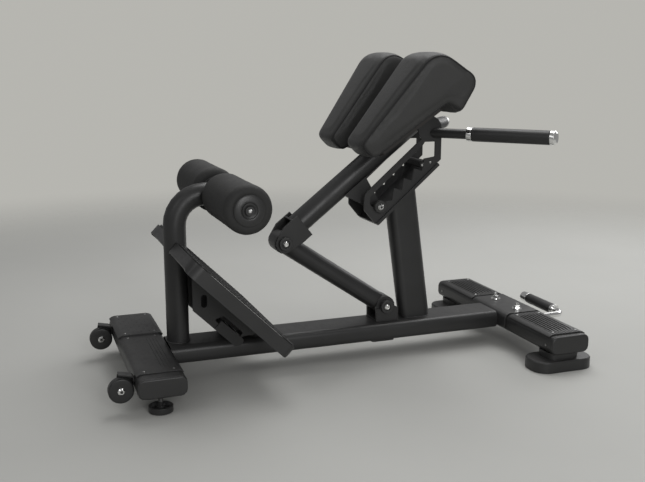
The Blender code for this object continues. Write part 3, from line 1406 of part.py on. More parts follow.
def pads(arm_axis):
    """Mirrored cushions with a crowned face, drawn in at both sides, on boards and two carriers."""
    facing = turn_xyz((cos(ARM_ANGLE), 0, sin(ARM_ANGLE)), (0, 1, 0))
    at = (ELBOW_X, 0, ELBOW_Z)
    for side, sign in SIDES:
        rings = []
        for k in range(PAD_SECTIONS + 1):
            share = (1 - cos(pi * k / PAD_SECTIONS)) / 2
            edge = abs(2 * share - 1)
            inset = PAD_EDGE_ROUND * (1 - sqrt(1 - edge**3))
            ring = []
            for u, v in pad_outline(inset):
                inner, outer = pad_sides(u)
                ring.append(Vector((u, sign * (inner + (outer - inner) * share), v)))
            rings.append(ring)
        add("pad_" + side, loft(rings), CHARCOAL_VINYL, at, facing, arm_axis, radians(60))
        pad_board(side, sign, at, facing, arm_axis)
    for name, u in (("low", CARRIER_FIRST), ("high", CARRIER_SECOND)):
        pad_carrier(name, u, at, facing, arm_axis)


def pad_board(side, sign, at, facing, arm_axis):
    corners = []
    for u, end in ((BOARD_START, 0), (BOARD_END, 1)):
        inner, outer = pad_sides(u)
        near, far = sign * (inner + BOARD_MARGIN), sign * (outer - BOARD_MARGIN)
        pair = [(u, near, BOARD_ROUND), (u, far, BOARD_ROUND)]
        corners += pair[::-1] if end else pair
    outline = rounded(corners if sign < 0 else corners[::-1])
    board = slab(outline, BOARD_LOW, BOARD_LOW + BOARD_SHEET, "XY")
    add("pad_board_" + side, board, DARK_WOOD, at, facing, arm_axis)


def pad_carrier(name, u, at, facing, arm_axis):
    """A cross plate under both boards, with a block that sits on the arm tube."""
    top = BOARD_LOW - GAP
    span = (u - CARRIER_WIDTH / 2, u + CARRIER_WIDTH / 2)
    axis = ARM_OFFSET
    outline = [
        (-CARRIER_HALF, top),
        (-CARRIER_HALF, top - CARRIER_SHEET),
        (-CARRIER_BLOCK_HALF, top - CARRIER_SHEET),
        (-CARRIER_BLOCK_HALF, axis + ARM_RADIUS / 2),
        (CARRIER_BLOCK_HALF, axis + ARM_RADIUS / 2),
        (CARRIER_BLOCK_HALF, top - CARRIER_SHEET),
        (CARRIER_HALF, top - CARRIER_SHEET),
        (CARRIER_HALF, top),
    ]
    rings = [[Vector((station, y, v)) for y, v in outline] for station in span]
    carrier = add("pad_carrier_" + name, loft(rings), BLACK_PAINT, at, facing, arm_axis)
    seat = tube([(0, 0, axis), (ARM_END, 0, axis)], (0, 1, 0), ring_outline(ARM_RADIUS + GAP))
    cut(carrier, helper("carrier_seat_" + name, seat, at, facing))


def main():
    clear_scene()
    link_axis = axis_empty("link_axis", BASE_PIVOT_X, 0, BASE_PIVOT_Z)
    arm_axis = axis_empty("arm_axis", ELBOW_X, 0, ELBOW_Z, link_axis)
    rear_and_front_bars()
    main_rail()
    treads_and_saddle()
    rubber_feet()
    levelling_feet()
    transport_wheels()
    roller_post()
    foam_rollers()
    foot_plate()
    base_bracket()
    lower_link(link_axis)
    elbow_clevis(arm_axis)
    pad_arm(arm_axis)
    arm_gusset(arm_axis)
    ladder_bracket()
    ladder_post()
    handles()
    lift_handle()
    pads(arm_axis)
    swing, fold = linkage()
    print("link swing and carriage turn, degrees:", degrees(swing), degrees(fold))


main()
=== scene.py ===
"""The looks of a hyperextension bench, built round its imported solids: stuffed pads, foam rollers,
finishes, bolts, screws, weld beads, tread patterns, studio floor and light. Metres, +Z up."""

from math import atan2, ceil, cos, exp, floor, pi, radians, sin, sqrt

import bmesh
import bpy
import numpy as np
from mathutils import Euler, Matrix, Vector, noise
from mathutils.bvhtree import BVHTree
from mathutils.kdtree import KDTree


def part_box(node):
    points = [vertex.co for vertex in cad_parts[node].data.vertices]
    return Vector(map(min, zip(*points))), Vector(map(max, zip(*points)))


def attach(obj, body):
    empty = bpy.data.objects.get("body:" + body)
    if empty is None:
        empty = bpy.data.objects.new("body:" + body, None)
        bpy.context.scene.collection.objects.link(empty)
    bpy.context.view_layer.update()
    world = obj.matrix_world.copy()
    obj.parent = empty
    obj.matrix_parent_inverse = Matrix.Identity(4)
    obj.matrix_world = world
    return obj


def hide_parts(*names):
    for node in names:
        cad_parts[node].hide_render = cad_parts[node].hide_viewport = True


# View and light
CAMERA_PLACE = (-0.8838, -2.2506, 0.8402)
CAMERA_TURN = radians(20.074)
CAMERA_DIP = radians(11.778)
FOCAL_PIXELS = 883.32
PICTURE_WIDTH = 645
SENSOR_WIDTH = 36.0
STUDIO_GREY = (0.47, 0.465, 0.435)
FLOOR_GREY = (0.43, 0.43, 0.41)
FLOOR_RADIUS = 6.0
FLOOR_FADE_START = 1.7
FLOOR_FADE_END = 3.6
FLOOR_STEPS = 96
FLOOR_ROUGHNESS = 0.8
FLOOR_CLOUD = 0.6
FLOOR_CLOUD_DETAIL = 5.0
FLOOR_CLOUD_SHADE = 0.96
AMBIENT = 0.40
GLOSS_GREY = 0.24
# Each softbox: its name, its place, where it points, its size and its power
SOFTBOXES = (
    ("ceiling", (0.8, 0.8, 2.7), (0.1, 0.0, 0.3), (2.4, 1.8), 44.0),
    ("left", (-2.2, -1.2, 1.9), (0.0, 0.0, 0.4), (0.8, 1.2), 4.0),
    ("right", (2.7, 1.1, 1.5), (0.1, 0.0, 0.4), (2.2, 1.3), 22.0),
    ("top", (1.0, -0.7, 2.7), (0.1, -0.2, 0.3), (2.0, 0.5), 8.0),
    ("front", (-0.2, -3.2, 1.3), (0.0, 0.0, 0.4), (0.8, 1.6), 30.0),
)

# What the finishes have in common
NOISE_LOW = 0.3
NOISE_HIGH = 0.7
GRAIN_SIZE = 0.0012
GRAIN_DETAIL = 2.0
CLOUD_SIZE = 0.08
CLOUD_DETAIL = 4.0
ROUGHNESS_CHANGE = 0.04
MARK_SIZE = 0.035
MARK_ROUGHNESS = 0.05
MARK_PATCH_DETAIL = 5.0
MARK_STREAK_DETAIL = 3.0
MARK_STREAK_SIZE = 0.2
MARK_STREAK_STRETCH = (1, 0.25, 1)
MARK_SHARE = 0.35
MARK_CUT = 0.7
MARK_GAIN = 9.0
DUST_GREY = (0.075, 0.073, 0.070)
DUST_AMOUNT = 0.3
DUST_FACING = 0.55
DUST_PATCH = 0.05
DUST_DETAIL = 6.0
DUST_LEAST = 0.35

# The grain of the vinyl, with painted shade that darkens its creases
PEBBLE_SIZE = 0.0017
PEBBLE_GAIN = 3.2
PEBBLE_HEIGHT = 0.00012
PEBBLE_SWAY = 0.0012
PEBBLE_SWAY_SCALE = 180.0
CREASE_SHADE_SHARE = 0.35
PAINTED_CREASE_SHADE = (0.012, 0.012, 0.012)
VINYL_SHEEN = 0.04

# Every finish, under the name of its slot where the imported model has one: its dark and its light shade,
# roughness, grain size and bump height in metres, and where they differ from the usual, metal and dust
COATS = {
    "black_paint": ((0.018, 0.018, 0.018), (0.022, 0.022, 0.022), 0.40, 0.0011, 0.00003),
    "satin_black": ((0.022, 0.022, 0.022), (0.027, 0.027, 0.026), 0.50, 0.0008, 0.00004),
    "black_plastic": ((0.018, 0.018, 0.018), (0.022, 0.022, 0.022), 0.36, 0.0006, 0.00004),
    "black_rubber": ((0.015, 0.015, 0.015), (0.020, 0.020, 0.020), 0.42, 0.0009, 0.00006),
    "black_foam": ((0.014, 0.014, 0.014), (0.020, 0.020, 0.019), 0.74, 0.0007, 0.00012),
    "charcoal_vinyl": ((0.026, 0.026, 0.025), (0.031, 0.031, 0.030), 0.50, 0.003, 0.0, 0.0, 0.10),
    "dark_board": ((0.016, 0.014, 0.013), (0.024, 0.021, 0.019), 0.66, 0.0020, 0.00010),
    "chrome": ((0.80, 0.80, 0.79), (0.88, 0.88, 0.87), 0.15, 0.0006, 0.0, 1.0, 0.02),
    "thread": ((0.008, 0.008, 0.008), (0.012, 0.012, 0.012), 0.70, 0.0004, 0.00005),
    # Pale line along the foot plate's edges: wear, and a painted highlight.
    "worn_edge_and_highlight": ((0.58, 0.58, 0.56), (0.70, 0.70, 0.68), 0.45, 0.0007, 0.00002),
    "zinc": ((0.30, 0.30, 0.30), (0.42, 0.42, 0.41), 0.34, 0.0007, 0.00002, 1.0, 0.05),
}
# Solids that don't take the finish of their own slot: the stop roller is dull black
NODE_FINISHES = {"stop_rod": "thread"}

# Soft edges of the painted and moulded solids
EDGE_WIDTH = 0.0009
EDGE_ANGLE = radians(32)
EDGE_SEGMENTS = 3
SHARP_ANGLE = radians(35)
WIDE_EDGES = {"rear_cap": 0.0018, "front_cap": 0.0018, "rubber_foot": 0.0018, "handle_grip": 0.0012}
MERGE_DISTANCE = 0.00001
TINY = 1e-9

# Pads, in the pad arm's own directions from the elbow
ELBOW = Vector((-0.181, 0.0, 0.348))
ARM_ANGLE = radians(38.2)
PAD_LOW_U = 0.289
PAD_HIGH_U = 0.594
PAD_FLOOR_V = 0.0593
PAD_HUB_U = 0.560
PAD_HUB_V = 0.090
PAD_IN_LOW = 0.053
PAD_IN_HIGH = 0.058
PAD_OUT_LOW = 0.167
PAD_OUT_HIGH = 0.2313
PAD_INSET = 0.0006
PAD_VOXEL = 0.0042
PAD_CROWN = 0.0018
PAD_REST = 0.030
PAD_FRAMES = 20
PAD_PRESSURE = 4.0
PAD_EVENING = 40
PAD_SMOOTHING = 14
PAD_SMOOTHING_FACTOR = 0.5
SEAM_INSET = 0.0050
SEAM_DEPTH = 0.0014
SEAM_WIDTH = 0.0028
SEAM_REACH = 3
SEAM_RAYS = 1440
SEAM_PITCH = 0.004
PIPING = 0.0027
PIPING_SINK = 0.0008
PIPING_ROUNDNESS = 2
STITCH_ROW = 0.0050
STITCH_PITCH = 0.0048
STITCH_LENGTH = 0.0032
STITCH_THREAD = 0.0007

# Foam rollers and their cores
ROLLER_RADIUS = 0.060
ROLLER_IN = 0.0455
ROLLER_OUT = 0.2925
ROLLER_EDGE = 0.017
ROLLER_BORE = 0.0165
ROLLER_STEPS = 96
ROLLER_EDGE_STEPS = 10
ROLLER_ROWS = 40
FOAM_SAG = 0.0006
FOAM_WAVE = 0.0003
FOAM_WAVE_SCALE = 60
FOAM_WAVE_NOISE = (0.9, 2.0, 3)
# Dents in the foam's ends: share of the flat end's radius, and depth
FOAM_INNER_DENT = ((0.55, 0.0010), (0.85, 0.0006))
FOAM_OUTER_DENT = ((0.92, 0.0010), (0.84, 0.0012))
FOAM_BORE_INNER = 0.0010
FOAM_BORE_OUTER = 0.0008
CORE_STEPS = 72
CORE_TUBE = 0.0160
CORE_BORE = 0.0104
CORE_FLANGE = 0.0380
CORE_ROUND = 0.001
CORE_LIP = 0.0004
CORE_CLEARANCE = 0.0003
CORE_START = 0.0420
CORE_DOME_FOOT = 0.0008
CORE_DOME_RISE = 0.0053
CORE_DOME_STEPS = 12
CORE_DOME_ROWS = 7
# The ring inside the cap's dome: radius, and height over the foam's outer end
CORE_RING = (
    (0.0202, 0.0048), (0.0192, 0.0040), (0.0184, 0.0058), (0.0166, 0.0067),
    (0.0146, 0.0063), (0.0116, 0.0042), (CORE_BORE, 0.0040),
)

# Wheels and levelling feet
WHEEL_STEPS = 64
WHEEL_ROUND = 0.004
WHEEL_ROUND_STEPS = 5
WHEEL_GROOVE = 0.0012
WHEEL_GROOVE_PLACE = 0.0032
WHEEL_GROOVE_TOP = 0.0009
WHEEL_GROOVE_FLOOR = 0.0004
WHEEL_DISH = 0.0004
WHEEL_HUB = 0.0150
WHEEL_BORE = 0.0056
STUD_RADIUS = 0.0060
STUD_START = 0.026
STUD_PLAIN = 0.030
THREAD_PITCH = 0.0020
THREAD_STEPS = 18
THREAD_BEAD = {"Length": 0.0028, "Width": 0.0010, "Thickness": 0.0010}

# Bolts, screws, welds and tread patterns
BOLT = {"Radius": 0.0095, "Height": 0.0075, "Washer": 0.0150, "Washer Height": 0.0022, "Stem": 0.0075}
PIN_SCREW = {"Radius": 0.0085, "Height": 0.0046}
ROLLER_SCREW = {"Radius": 0.0045, "Height": 0.0030}
WHEEL_SCREW = {"Radius": 0.0090, "Height": 0.0056}
STOP_SCREW = {"Radius": 0.0080, "Height": 0.0050}
SMALL_SCREW = {"Radius": 0.0034, "Height": 0.0014}
WHEEL_RECESS = 0.0045
# The screws in the ends of each pin: their piece, the pin, how deep they sit, their sizes and their body
PIN_ENDS = (
    ("base_pin_screws", "base_pin", 0.0030, PIN_SCREW, "frame"),
    ("elbow_pin_screws", "elbow_pin", 0.0030, PIN_SCREW, "carriage"),
    ("latch_screws", "latch_pin", 0.004, PIN_SCREW, "carriage"),
    ("roller_bolts", "roller_axle", 0.0, ROLLER_SCREW, "frame"),
)
SADDLE_BOLT_Y = 0.060
SADDLE_BOLT_TURN = 0.4
SMALL_SCREW_SINK = 0.0002
TREAD_SCREW_X = 0.021
TREAD_SCREW_Y = 0.0147
CROSSBAR_SCREW_Y = 0.024
CROSSBAR_SCREW_Z = 0.022
LADDER_SCREW_X = 0.235
LADDER_SCREW_Z = 0.554
WELD_PITCH = 0.0030
WELD_LIFT = 0.0006
WELD_BEAD = {"Length": 0.0060, "Width": 0.0052, "Thickness": 0.00364}
POST_FOOT_LAYER = 0.001
POST_FOOT_DIGITS = 5
POST_FACE_SHARE = 0.955
POST_CORNER_SHARE = 0.95
POST_CORNER_POWER = 4
DOT_BEAD = {"Length": 0.0034, "Width": 0.0034, "Thickness": 0.0008}
DOT_PITCH = 0.0220
DOT_STAGGER = 0.25
DOT_SPARE_X = 0.034
DOT_SPARE_Y = 0.03
REAR_RIDGES = (0.010, 0.018, 0.026, 0.034)
REAR_RIDGE_MARGIN = 0.006
REAR_RIDGE_WIDTH = 0.0016
REAR_RIDGE_THICKNESS = 0.0008
FRONT_RIDGES = 7
FRONT_RIDGE_STEP = 0.0105
FRONT_RIDGE_MARGIN = 0.012
FRONT_RIDGE_SINK = 0.0012
FRONT_RIDGE_WIDTH = 0.0050
FRONT_RIDGE_THICKNESS = 0.0030
TRIM_INSET = 0.0018
TRIM_SINK = 0.0022
TRIM_SHORTER = 0.045
TRIM_WIDTH = 0.0022
TRIM_THICKNESS = 0.0008
PLATE_BAR = {"Length": 0.0100, "Width": 0.0026, "Thickness": 0.0019}
PLATE_BAR_PITCH_ALONG = 0.0135
PLATE_BAR_PITCH_ACROSS = 0.0115
PLATE_BAR_SPARE = 0.012
PLATE_BAR_START = 0.6
PLATE_BAR_SLANT = 0.5
PLATE_BAR_SINK = 0.0003
PLATE_BAR_FLATNESS = 0.95
RAY_HEIGHT = 0.3
RAY_LENGTH = 1.0
PLATE_RAY_HEIGHT = 0.1

# Shares of a screw's or bolt's own sizes, and the numbers of their sides
SCREW_SIDES = 24
SCREW_RIM = 0.45
SCREW_CROWN = 0.55
SCREW_CROWN_TOP = 0.66
SOCKET_RADIUS = 0.46
SOCKET_FLOOR = 0.4
WASHER_SIDES = 32
WASHER_TOP = 0.96
HEXAGON_WALL = 0.8
HEXAGON_SLOPE = 0.2
HEXAGON_TOP = 0.84
STEM_SIDES = 20
STEM_RADIUS = 0.55
STEM_TOP = 0.9
BEAD_SEGMENTS = 10
BEAD_RINGS = 6
BAR_TOP = 0.75
HALF_DIAGONAL = sqrt(0.5)

SIDES = (("right", -1), ("left", 1))
ALONG_X = Vector((1, 0, 0))
ALONG_Y = Vector((0, 1, 0))
UP = Vector((0, 0, 1))


def link(obj):
    bpy.context.scene.collection.objects.link(obj)
    return obj


def feed(tree, node, values):
    """Puts each value on the node's input of that name or number. A socket is linked to it."""
    for key, value in values.items():
        if isinstance(value, bpy.types.NodeSocket):
            tree.links.new(value, node.inputs[key])
        else:
            node.inputs[key].default_value = value
    return node


def node_in(tree, kind, values=None, **settings):
    """A new node with its settings and the values of its inputs."""
    node = tree.nodes.new(kind)
    for key, value in settings.items():
        setattr(node, key, value)
    return feed(tree, node, values or {})


def arithmetic(tree, operation, first, second):
    """The result of a Math node on two sockets or numbers."""
    return node_in(tree, "ShaderNodeMath", {0: first, 1: second}, operation=operation).outputs[0]


def product(tree, first, second):
    return arithmetic(tree, "MULTIPLY", first, second)


def held(tree, value):
    """A value held between 0 and 1."""
    return node_in(tree, "ShaderNodeClamp", {"Value": value}).outputs["Result"]


def spread(tree, value, low, high):
    """A value in the range that noise gives, brought to lie from low to high."""
    ends = {"From Min": NOISE_LOW, "From Max": NOISE_HIGH, "To Min": low, "To Max": high}
    return node_in(tree, "ShaderNodeMapRange", {"Value": value, **ends}).outputs["Result"]


def mixed(tree, share, first, second):
    """A mix of two colours, each a socket or a plain colour."""
    ends = [c if isinstance(c, bpy.types.NodeSocket) else (*c, 1.0) for c in (first, second)]
    node = node_in(tree, "ShaderNodeMix", {0: share, 6: ends[0], 7: ends[1]}, data_type="RGBA")
    return node.outputs[2]


def noise_of(tree, size, detail, stretch=None):
    """Noise on the piece's own coordinates, whose lumps have a size in metres."""
    place = node_in(tree, "ShaderNodeTexCoord").outputs["Object"]
    if stretch:
        place = node_in(tree, "ShaderNodeMapping", {"Vector": place, "Scale": stretch}).outputs["Vector"]
    scale = arithmetic(tree, "DIVIDE", 1.0, size)
    values = {"Vector": place, "Detail": detail, "Scale": scale}
    return node_in(tree, "ShaderNodeTexNoise", values).outputs["Fac"]


def shader_group(name, inputs, outputs):
    """A node group, the sockets that bring its values and the node that takes its results."""
    tree = bpy.data.node_groups.new(name, "ShaderNodeTree")
    for label, value in inputs.items():
        socket = tree.interface.new_socket(label, in_out="INPUT", socket_type="NodeSocketFloat")
        socket.default_value = value
    for label in outputs:
        tree.interface.new_socket(label, in_out="OUTPUT", socket_type="NodeSocketFloat")
    return tree, node_in(tree, "NodeGroupInput").outputs, node_in(tree, "NodeGroupOutput")


def coat_group():
    """The fine orange peel of a coating, and the slow cloudy change in its shade."""
    sizes = {"Grain Size": GRAIN_SIZE, "Cloud Size": CLOUD_SIZE}
    tree, given, made = shader_group("coat grain", sizes, ("Height", "Cloud"))
    height = noise_of(tree, given["Grain Size"], GRAIN_DETAIL)
    feed(tree, made, {"Height": height, "Cloud": noise_of(tree, given["Cloud Size"], CLOUD_DETAIL)})
    return tree


def handling_group():
    """Smears and rubbed spots that handling leaves: their strength over the surface."""
    sizes = {"Mark Size": MARK_SIZE, "Share": MARK_SHARE}
    tree, given, made = shader_group("handling marks", sizes, ("Marks",))
    patches = noise_of(tree, given["Mark Size"], MARK_PATCH_DETAIL)
    streak_size = product(tree, given["Mark Size"], MARK_STREAK_SIZE)
    streaks = noise_of(tree, streak_size, MARK_STREAK_DETAIL, MARK_STREAK_STRETCH)
    cut = product(tree, given["Share"], MARK_CUT)
    over = arithmetic(tree, "SUBTRACT", product(tree, patches, streaks), cut)
    feed(tree, made, {"Marks": held(tree, product(tree, over, MARK_GAIN))})
    return tree


def hide_group():
    """The pebbled grain of upholstery vinyl: rounded cells parted by fine creases, and a painted shade for
    the creases.
    """
    tree, given, made = shader_group("vinyl grain", {"Pebble Size": PEBBLE_SIZE}, ("Height", "Painted Crease Shade"))
    place = node_in(tree, "ShaderNodeTexCoord").outputs["Object"]
    bend = node_in(tree, "ShaderNodeTexNoise", {"Vector": place, "Scale": PEBBLE_SWAY_SCALE})
    values = {0: bend.outputs["Color"], "Scale": PEBBLE_SWAY}
    sway = node_in(tree, "ShaderNodeVectorMath", values, operation="SCALE").outputs["Vector"]
    moved = node_in(tree, "ShaderNodeVectorMath", {0: place, 1: sway}, operation="ADD").outputs["Vector"]
    values = {"Vector": moved, "Scale": arithmetic(tree, "DIVIDE", 1.0, given["Pebble Size"])}
    cells = node_in(tree, "ShaderNodeTexVoronoi", values, feature="DISTANCE_TO_EDGE")
    height = held(tree, product(tree, cells.outputs["Distance"], PEBBLE_GAIN))
    feed(tree, made, {"Height": height, "Painted Crease Shade": arithmetic(tree, "SUBTRACT", 1.0, height)})
    return tree


def dust_group():
    """Dust that has settled on what faces up."""
    tree, given, made = shader_group("settled dust", {"Amount": DUST_AMOUNT}, ("Dust",))
    normal = node_in(tree, "ShaderNodeNewGeometry").outputs["Normal"]
    rise = node_in(tree, "ShaderNodeSeparateXYZ", {"Vector": normal}).outputs["Z"]
    facing = node_in(tree, "ShaderNodeMapRange", {"Value": rise, "From Min": DUST_FACING})
    patchy = spread(tree, noise_of(tree, DUST_PATCH, DUST_DETAIL), DUST_LEAST, 1.0)
    most = product(tree, facing.outputs["Result"], given["Amount"])
    feed(tree, made, {"Dust": product(tree, patchy, most)})
    return tree


def placed_group(tree, kind, values):
    return node_in(tree, "ShaderNodeGroup", values, node_tree=GROUPS[kind]).outputs


def finish(name, dark, light, rough, grain, bump, metal=0.0, dust=DUST_AMOUNT):
    """A coated, moulded or plated surface with grain, cloudiness, handling marks and a little dust."""
    material = bpy.data.materials.new(name)
    material.use_nodes = True
    tree = material.node_tree
    coat = placed_group(tree, "coat", {"Grain Size": grain, "Cloud Size": CLOUD_SIZE})
    handled = placed_group(tree, "handling", {"Mark Size": MARK_SIZE})
    dusty = placed_group(tree, "dust", {"Amount": dust})
    clouded = mixed(tree, spread(tree, coat["Cloud"], 0.0, 1.0), dark, light)
    even = spread(tree, coat["Cloud"], rough - ROUGHNESS_CHANGE, rough + ROUGHNESS_CHANGE)
    rubbed = product(tree, handled["Marks"], MARK_ROUGHNESS)
    relief = {"Strength": 1.0, "Distance": bump, "Height": coat["Height"]}
    feed(tree, tree.nodes["Principled BSDF"], {
        "Metallic": metal,
        "Base Color": mixed(tree, dusty["Dust"], clouded, DUST_GREY),
        "Roughness": arithmetic(tree, "ADD", even, rubbed),
        "Normal": node_in(tree, "ShaderNodeBump", relief).outputs["Normal"],
    })
    return material


def pebble(material):
    """Gives a finish the grain of vinyl in place of its own, with painted shade in its creases and a little
    sheen.
    """
    tree = material.node_tree
    shader = tree.nodes["Principled BSDF"]
    hide = placed_group(tree, "hide", {"Pebble Size": PEBBLE_SIZE})
    plain = shader.inputs["Base Color"].links[0].from_socket
    # Painted shade: the colour is darkened in the creases between the pebbles.
    crease_shaded = mixed(tree, product(tree, hide["Painted Crease Shade"], CREASE_SHADE_SHARE), plain, PAINTED_CREASE_SHADE)
    feed(tree, shader, {"Base Color": crease_shaded, "Sheen Weight": VINYL_SHEEN})
    relief = shader.inputs["Normal"].links[0].from_node
    feed(tree, relief, {"Distance": PEBBLE_HEIGHT, "Height": hide["Height"]})


GROUPS = {"coat": coat_group(), "handling": handling_group(), "hide": hide_group(), "dust": dust_group()}
FINISHES = {name: finish(name, *values) for name, values in COATS.items()}
pebble(FINISHES["charcoal_vinyl"])


def scatter_tree(name, sizes, shape):
    """A tree that sets one shape on every point, its Z along the point's axis, its X along its run."""
    tree = bpy.data.node_groups.new(name, "GeometryNodeTree")
    tree.interface.new_socket("Geometry", in_out="OUTPUT", socket_type="NodeSocketGeometry")
    tree.interface.new_socket("Points", in_out="INPUT", socket_type="NodeSocketGeometry")
    for label in sizes:
        tree.interface.new_socket(label, in_out="INPUT", socket_type="NodeSocketFloat")
    tree.interface.new_socket("Finish", in_out="INPUT", socket_type="NodeSocketMaterial")
    given = node_in(tree, "NodeGroupInput").outputs
    axis, run = [
        node_in(tree, "GeometryNodeInputNamedAttribute", {"Name": label}, data_type="FLOAT_VECTOR")
        for label in ("axis", "run")
    ]
    ways = {0: axis.outputs["Attribute"], 1: run.outputs["Attribute"]}
    turn = node_in(tree, "FunctionNodeAxesToRotation", ways, primary_axis="Z", secondary_axis="X")
    copies = node_in(tree, "GeometryNodeInstanceOnPoints", {
        "Points": given["Points"],
        "Instance": shape(tree, given),
        "Rotation": turn.outputs["Rotation"],
    })
    real = node_in(tree, "GeometryNodeRealizeInstances", {"Geometry": copies.outputs["Instances"]})
    values = {"Geometry": real.outputs["Geometry"], "Material": given["Finish"]}
    coated = node_in(tree, "GeometryNodeSetMaterial", values)
    node_in(tree, "NodeGroupOutput", {"Geometry": coated.outputs["Geometry"]})
    return tree


def lifted(tree, mesh, height):
    """The mesh raised by a height."""
    rise = node_in(tree, "ShaderNodeCombineXYZ", {"Z": height}).outputs["Vector"]
    node = node_in(tree, "GeometryNodeTransform", {"Geometry": mesh, "Translation": rise})
    return node.outputs["Geometry"]


def cone(tree, sides, low, high, depth):
    values = {"Vertices": sides, "Radius Bottom": low, "Radius Top": high, "Depth": depth}
    return node_in(tree, "GeometryNodeMeshCone", values).outputs["Mesh"]


def gathered(tree, kind, label, meshes, **settings):
    """A node that takes several meshes on one input."""
    node = node_in(tree, kind, **settings)
    for mesh in meshes:
        tree.links.new(mesh, node.inputs[label])
    return node.outputs[0]


def socket_head(tree, given):
    """A rounded screw head with a hexagon socket sunk in it."""
    radius, height = given["Radius"], given["Height"]
    rim = product(tree, height, SCREW_RIM)
    crown = product(tree, height, SCREW_CROWN)
    wall = cone(tree, SCREW_SIDES, radius, radius, rim)
    dome = lifted(tree, cone(tree, SCREW_SIDES, radius, product(tree, radius, SCREW_CROWN_TOP), crown), rim)
    head = gathered(tree, "GeometryNodeMeshBoolean", "Mesh 2", (wall, dome), operation="UNION")
    hexagon = product(tree, radius, SOCKET_RADIUS)
    tool = lifted(tree, cone(tree, 6, hexagon, hexagon, height), product(tree, height, SOCKET_FLOOR))
    values = {"Mesh 1": head, "Mesh 2": tool}
    return node_in(tree, "GeometryNodeMeshBoolean", values, operation="DIFFERENCE").outputs["Mesh"]


def hexagon_head(tree, given):
    """A hexagon bolt head with a chamfered top on its round washer, and the stem's end over it."""
    washer, thick = given["Washer"], given["Washer Height"]
    radius, height = given["Radius"], given["Height"]
    most = product(tree, height, HEXAGON_WALL)
    plate = cone(tree, WASHER_SIDES, washer, product(tree, washer, WASHER_TOP), thick)
    wall = lifted(tree, cone(tree, 6, radius, radius, most), thick)
    slope_height = product(tree, height, HEXAGON_SLOPE)
    slope = cone(tree, 6, radius, product(tree, radius, HEXAGON_TOP), slope_height)
    top = lifted(tree, slope, arithmetic(tree, "ADD", thick, most))
    stem_radius = product(tree, radius, STEM_RADIUS)
    stem = cone(tree, STEM_SIDES, stem_radius, product(tree, stem_radius, STEM_TOP), given["Stem"])
    stem = lifted(tree, stem, arithmetic(tree, "ADD", thick, height))
    return gathered(tree, "GeometryNodeJoinGeometry", "Geometry", (plate, wall, top, stem))


def sized(tree, given, mesh):
    """A shape of one metre brought to the length, width and thickness that the tree is given."""
    values = {socket: given[label] for label, socket in zip(LONG_WIDE_THICK, "XYZ")}
    size = node_in(tree, "ShaderNodeCombineXYZ", values).outputs["Vector"]
    return node_in(tree, "GeometryNodeTransform", {"Geometry": mesh, "Scale": size}).outputs["Geometry"]


def bead(tree, given):
    """A low rounded bead, longer along its run: a weld ripple, a stitch or a raised dot."""
    values = {"Segments": BEAD_SEGMENTS, "Rings": BEAD_RINGS, "Radius": 0.5}
    return sized(tree, given, node_in(tree, "GeometryNodeMeshUVSphere", values).outputs["Mesh"])


def raised_bar(tree, given):
    """A pressed bar of a tread: straight, with sloping sides."""
    prism = cone(tree, 4, HALF_DIAGONAL, BAR_TOP * HALF_DIAGONAL, 1.0)
    values = {"Geometry": prism, "Rotation": (0, 0, pi / 4)}
    return sized(tree, given, node_in(tree, "GeometryNodeTransform", values).outputs["Geometry"])


LONG_WIDE_THICK = ("Length", "Width", "Thickness")
TREES = {
    "screw": scatter_tree("socket screws", SMALL_SCREW, socket_head),
    "bolt": scatter_tree("hexagon bolts", BOLT, hexagon_head),
    "bead": scatter_tree("beads", LONG_WIDE_THICK, bead),
    "bar": scatter_tree("tread bars", LONG_WIDE_THICK, raised_bar),
}


def new_mesh(name, points, faces):
    mesh = bpy.data.meshes.new(name)
    mesh.from_pydata([tuple(p) for p in points], [], faces)
    return mesh


def show(name, mesh, slot, body, sharp=SHARP_ANGLE):
    """A finished piece on its body, with its material and its slot."""
    obj = link(bpy.data.objects.new(name, mesh))
    mesh.materials.clear()
    mesh.materials.append(FINISHES[slot])
    mesh.shade_smooth()
    mesh.set_sharp_from_angle(angle=sharp)
    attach(obj, body)
    return obj


def evaluated_mesh(obj):
    graph = bpy.context.evaluated_depsgraph_get()
    return bpy.data.meshes.new_from_object(obj.evaluated_get(graph))


def scatter(name, kind, spots, sizes, slot, body):
    """One piece made of a shape repeated on spots, each a place, an axis and a run."""
    mesh = new_mesh(name, [place for place, _, _ in spots], [])
    for k, label in ((1, "axis"), (2, "run")):
        stored = mesh.attributes.new(label, "FLOAT_VECTOR", "POINT")
        stored.data.foreach_set("vector", [c for spot in spots for c in spot[k]])
    holder = link(bpy.data.objects.new(name + "_points", mesh))
    maker = holder.modifiers.new(kind, "NODES")
    tree = TREES[kind]
    values = dict(sizes, Finish=FINISHES[slot])
    maker.node_group = tree
    for item in tree.interface.items_tree:
        if item.in_out == "INPUT" and item.name in values:
            maker[item.identifier] = values[item.name]
    made = evaluated_mesh(holder)
    bpy.data.objects.remove(holder)
    for label in ("axis", "run"):
        if label in made.attributes:
            made.attributes.remove(made.attributes[label])
    return show(name, made, slot, body)


def turned(name, profile, centre, sign, steps, slot, body, wave=0.0):
    """A round closed ring about the Y direction. Its profile gives radius and distance from the middle."""
    points = []
    for radius, along in profile:
        for k in range(steps):
            angle = 2 * pi * k / steps
            out = Vector((cos(angle), 0, sin(angle)))
            spot = Vector((centre[0] + radius * cos(angle), sign * along, centre[2] + radius * sin(angle)))
            if wave:
                spot += out * wave * noise.fractal(spot * FOAM_WAVE_SCALE, *FOAM_WAVE_NOISE)
            points.append(spot)
    rows = len(profile)
    faces = []
    for i in range(rows):
        for k in range(steps):
            a, b = i * steps + k, i * steps + (k + 1) % steps
            c, d = (i + 1) % rows * steps + (k + 1) % steps, (i + 1) % rows * steps + k
            faces.append((a, b, c, d))
    mesh = new_mesh(name, points, faces)
    face_out(mesh)
    return show(name, mesh, slot, body)


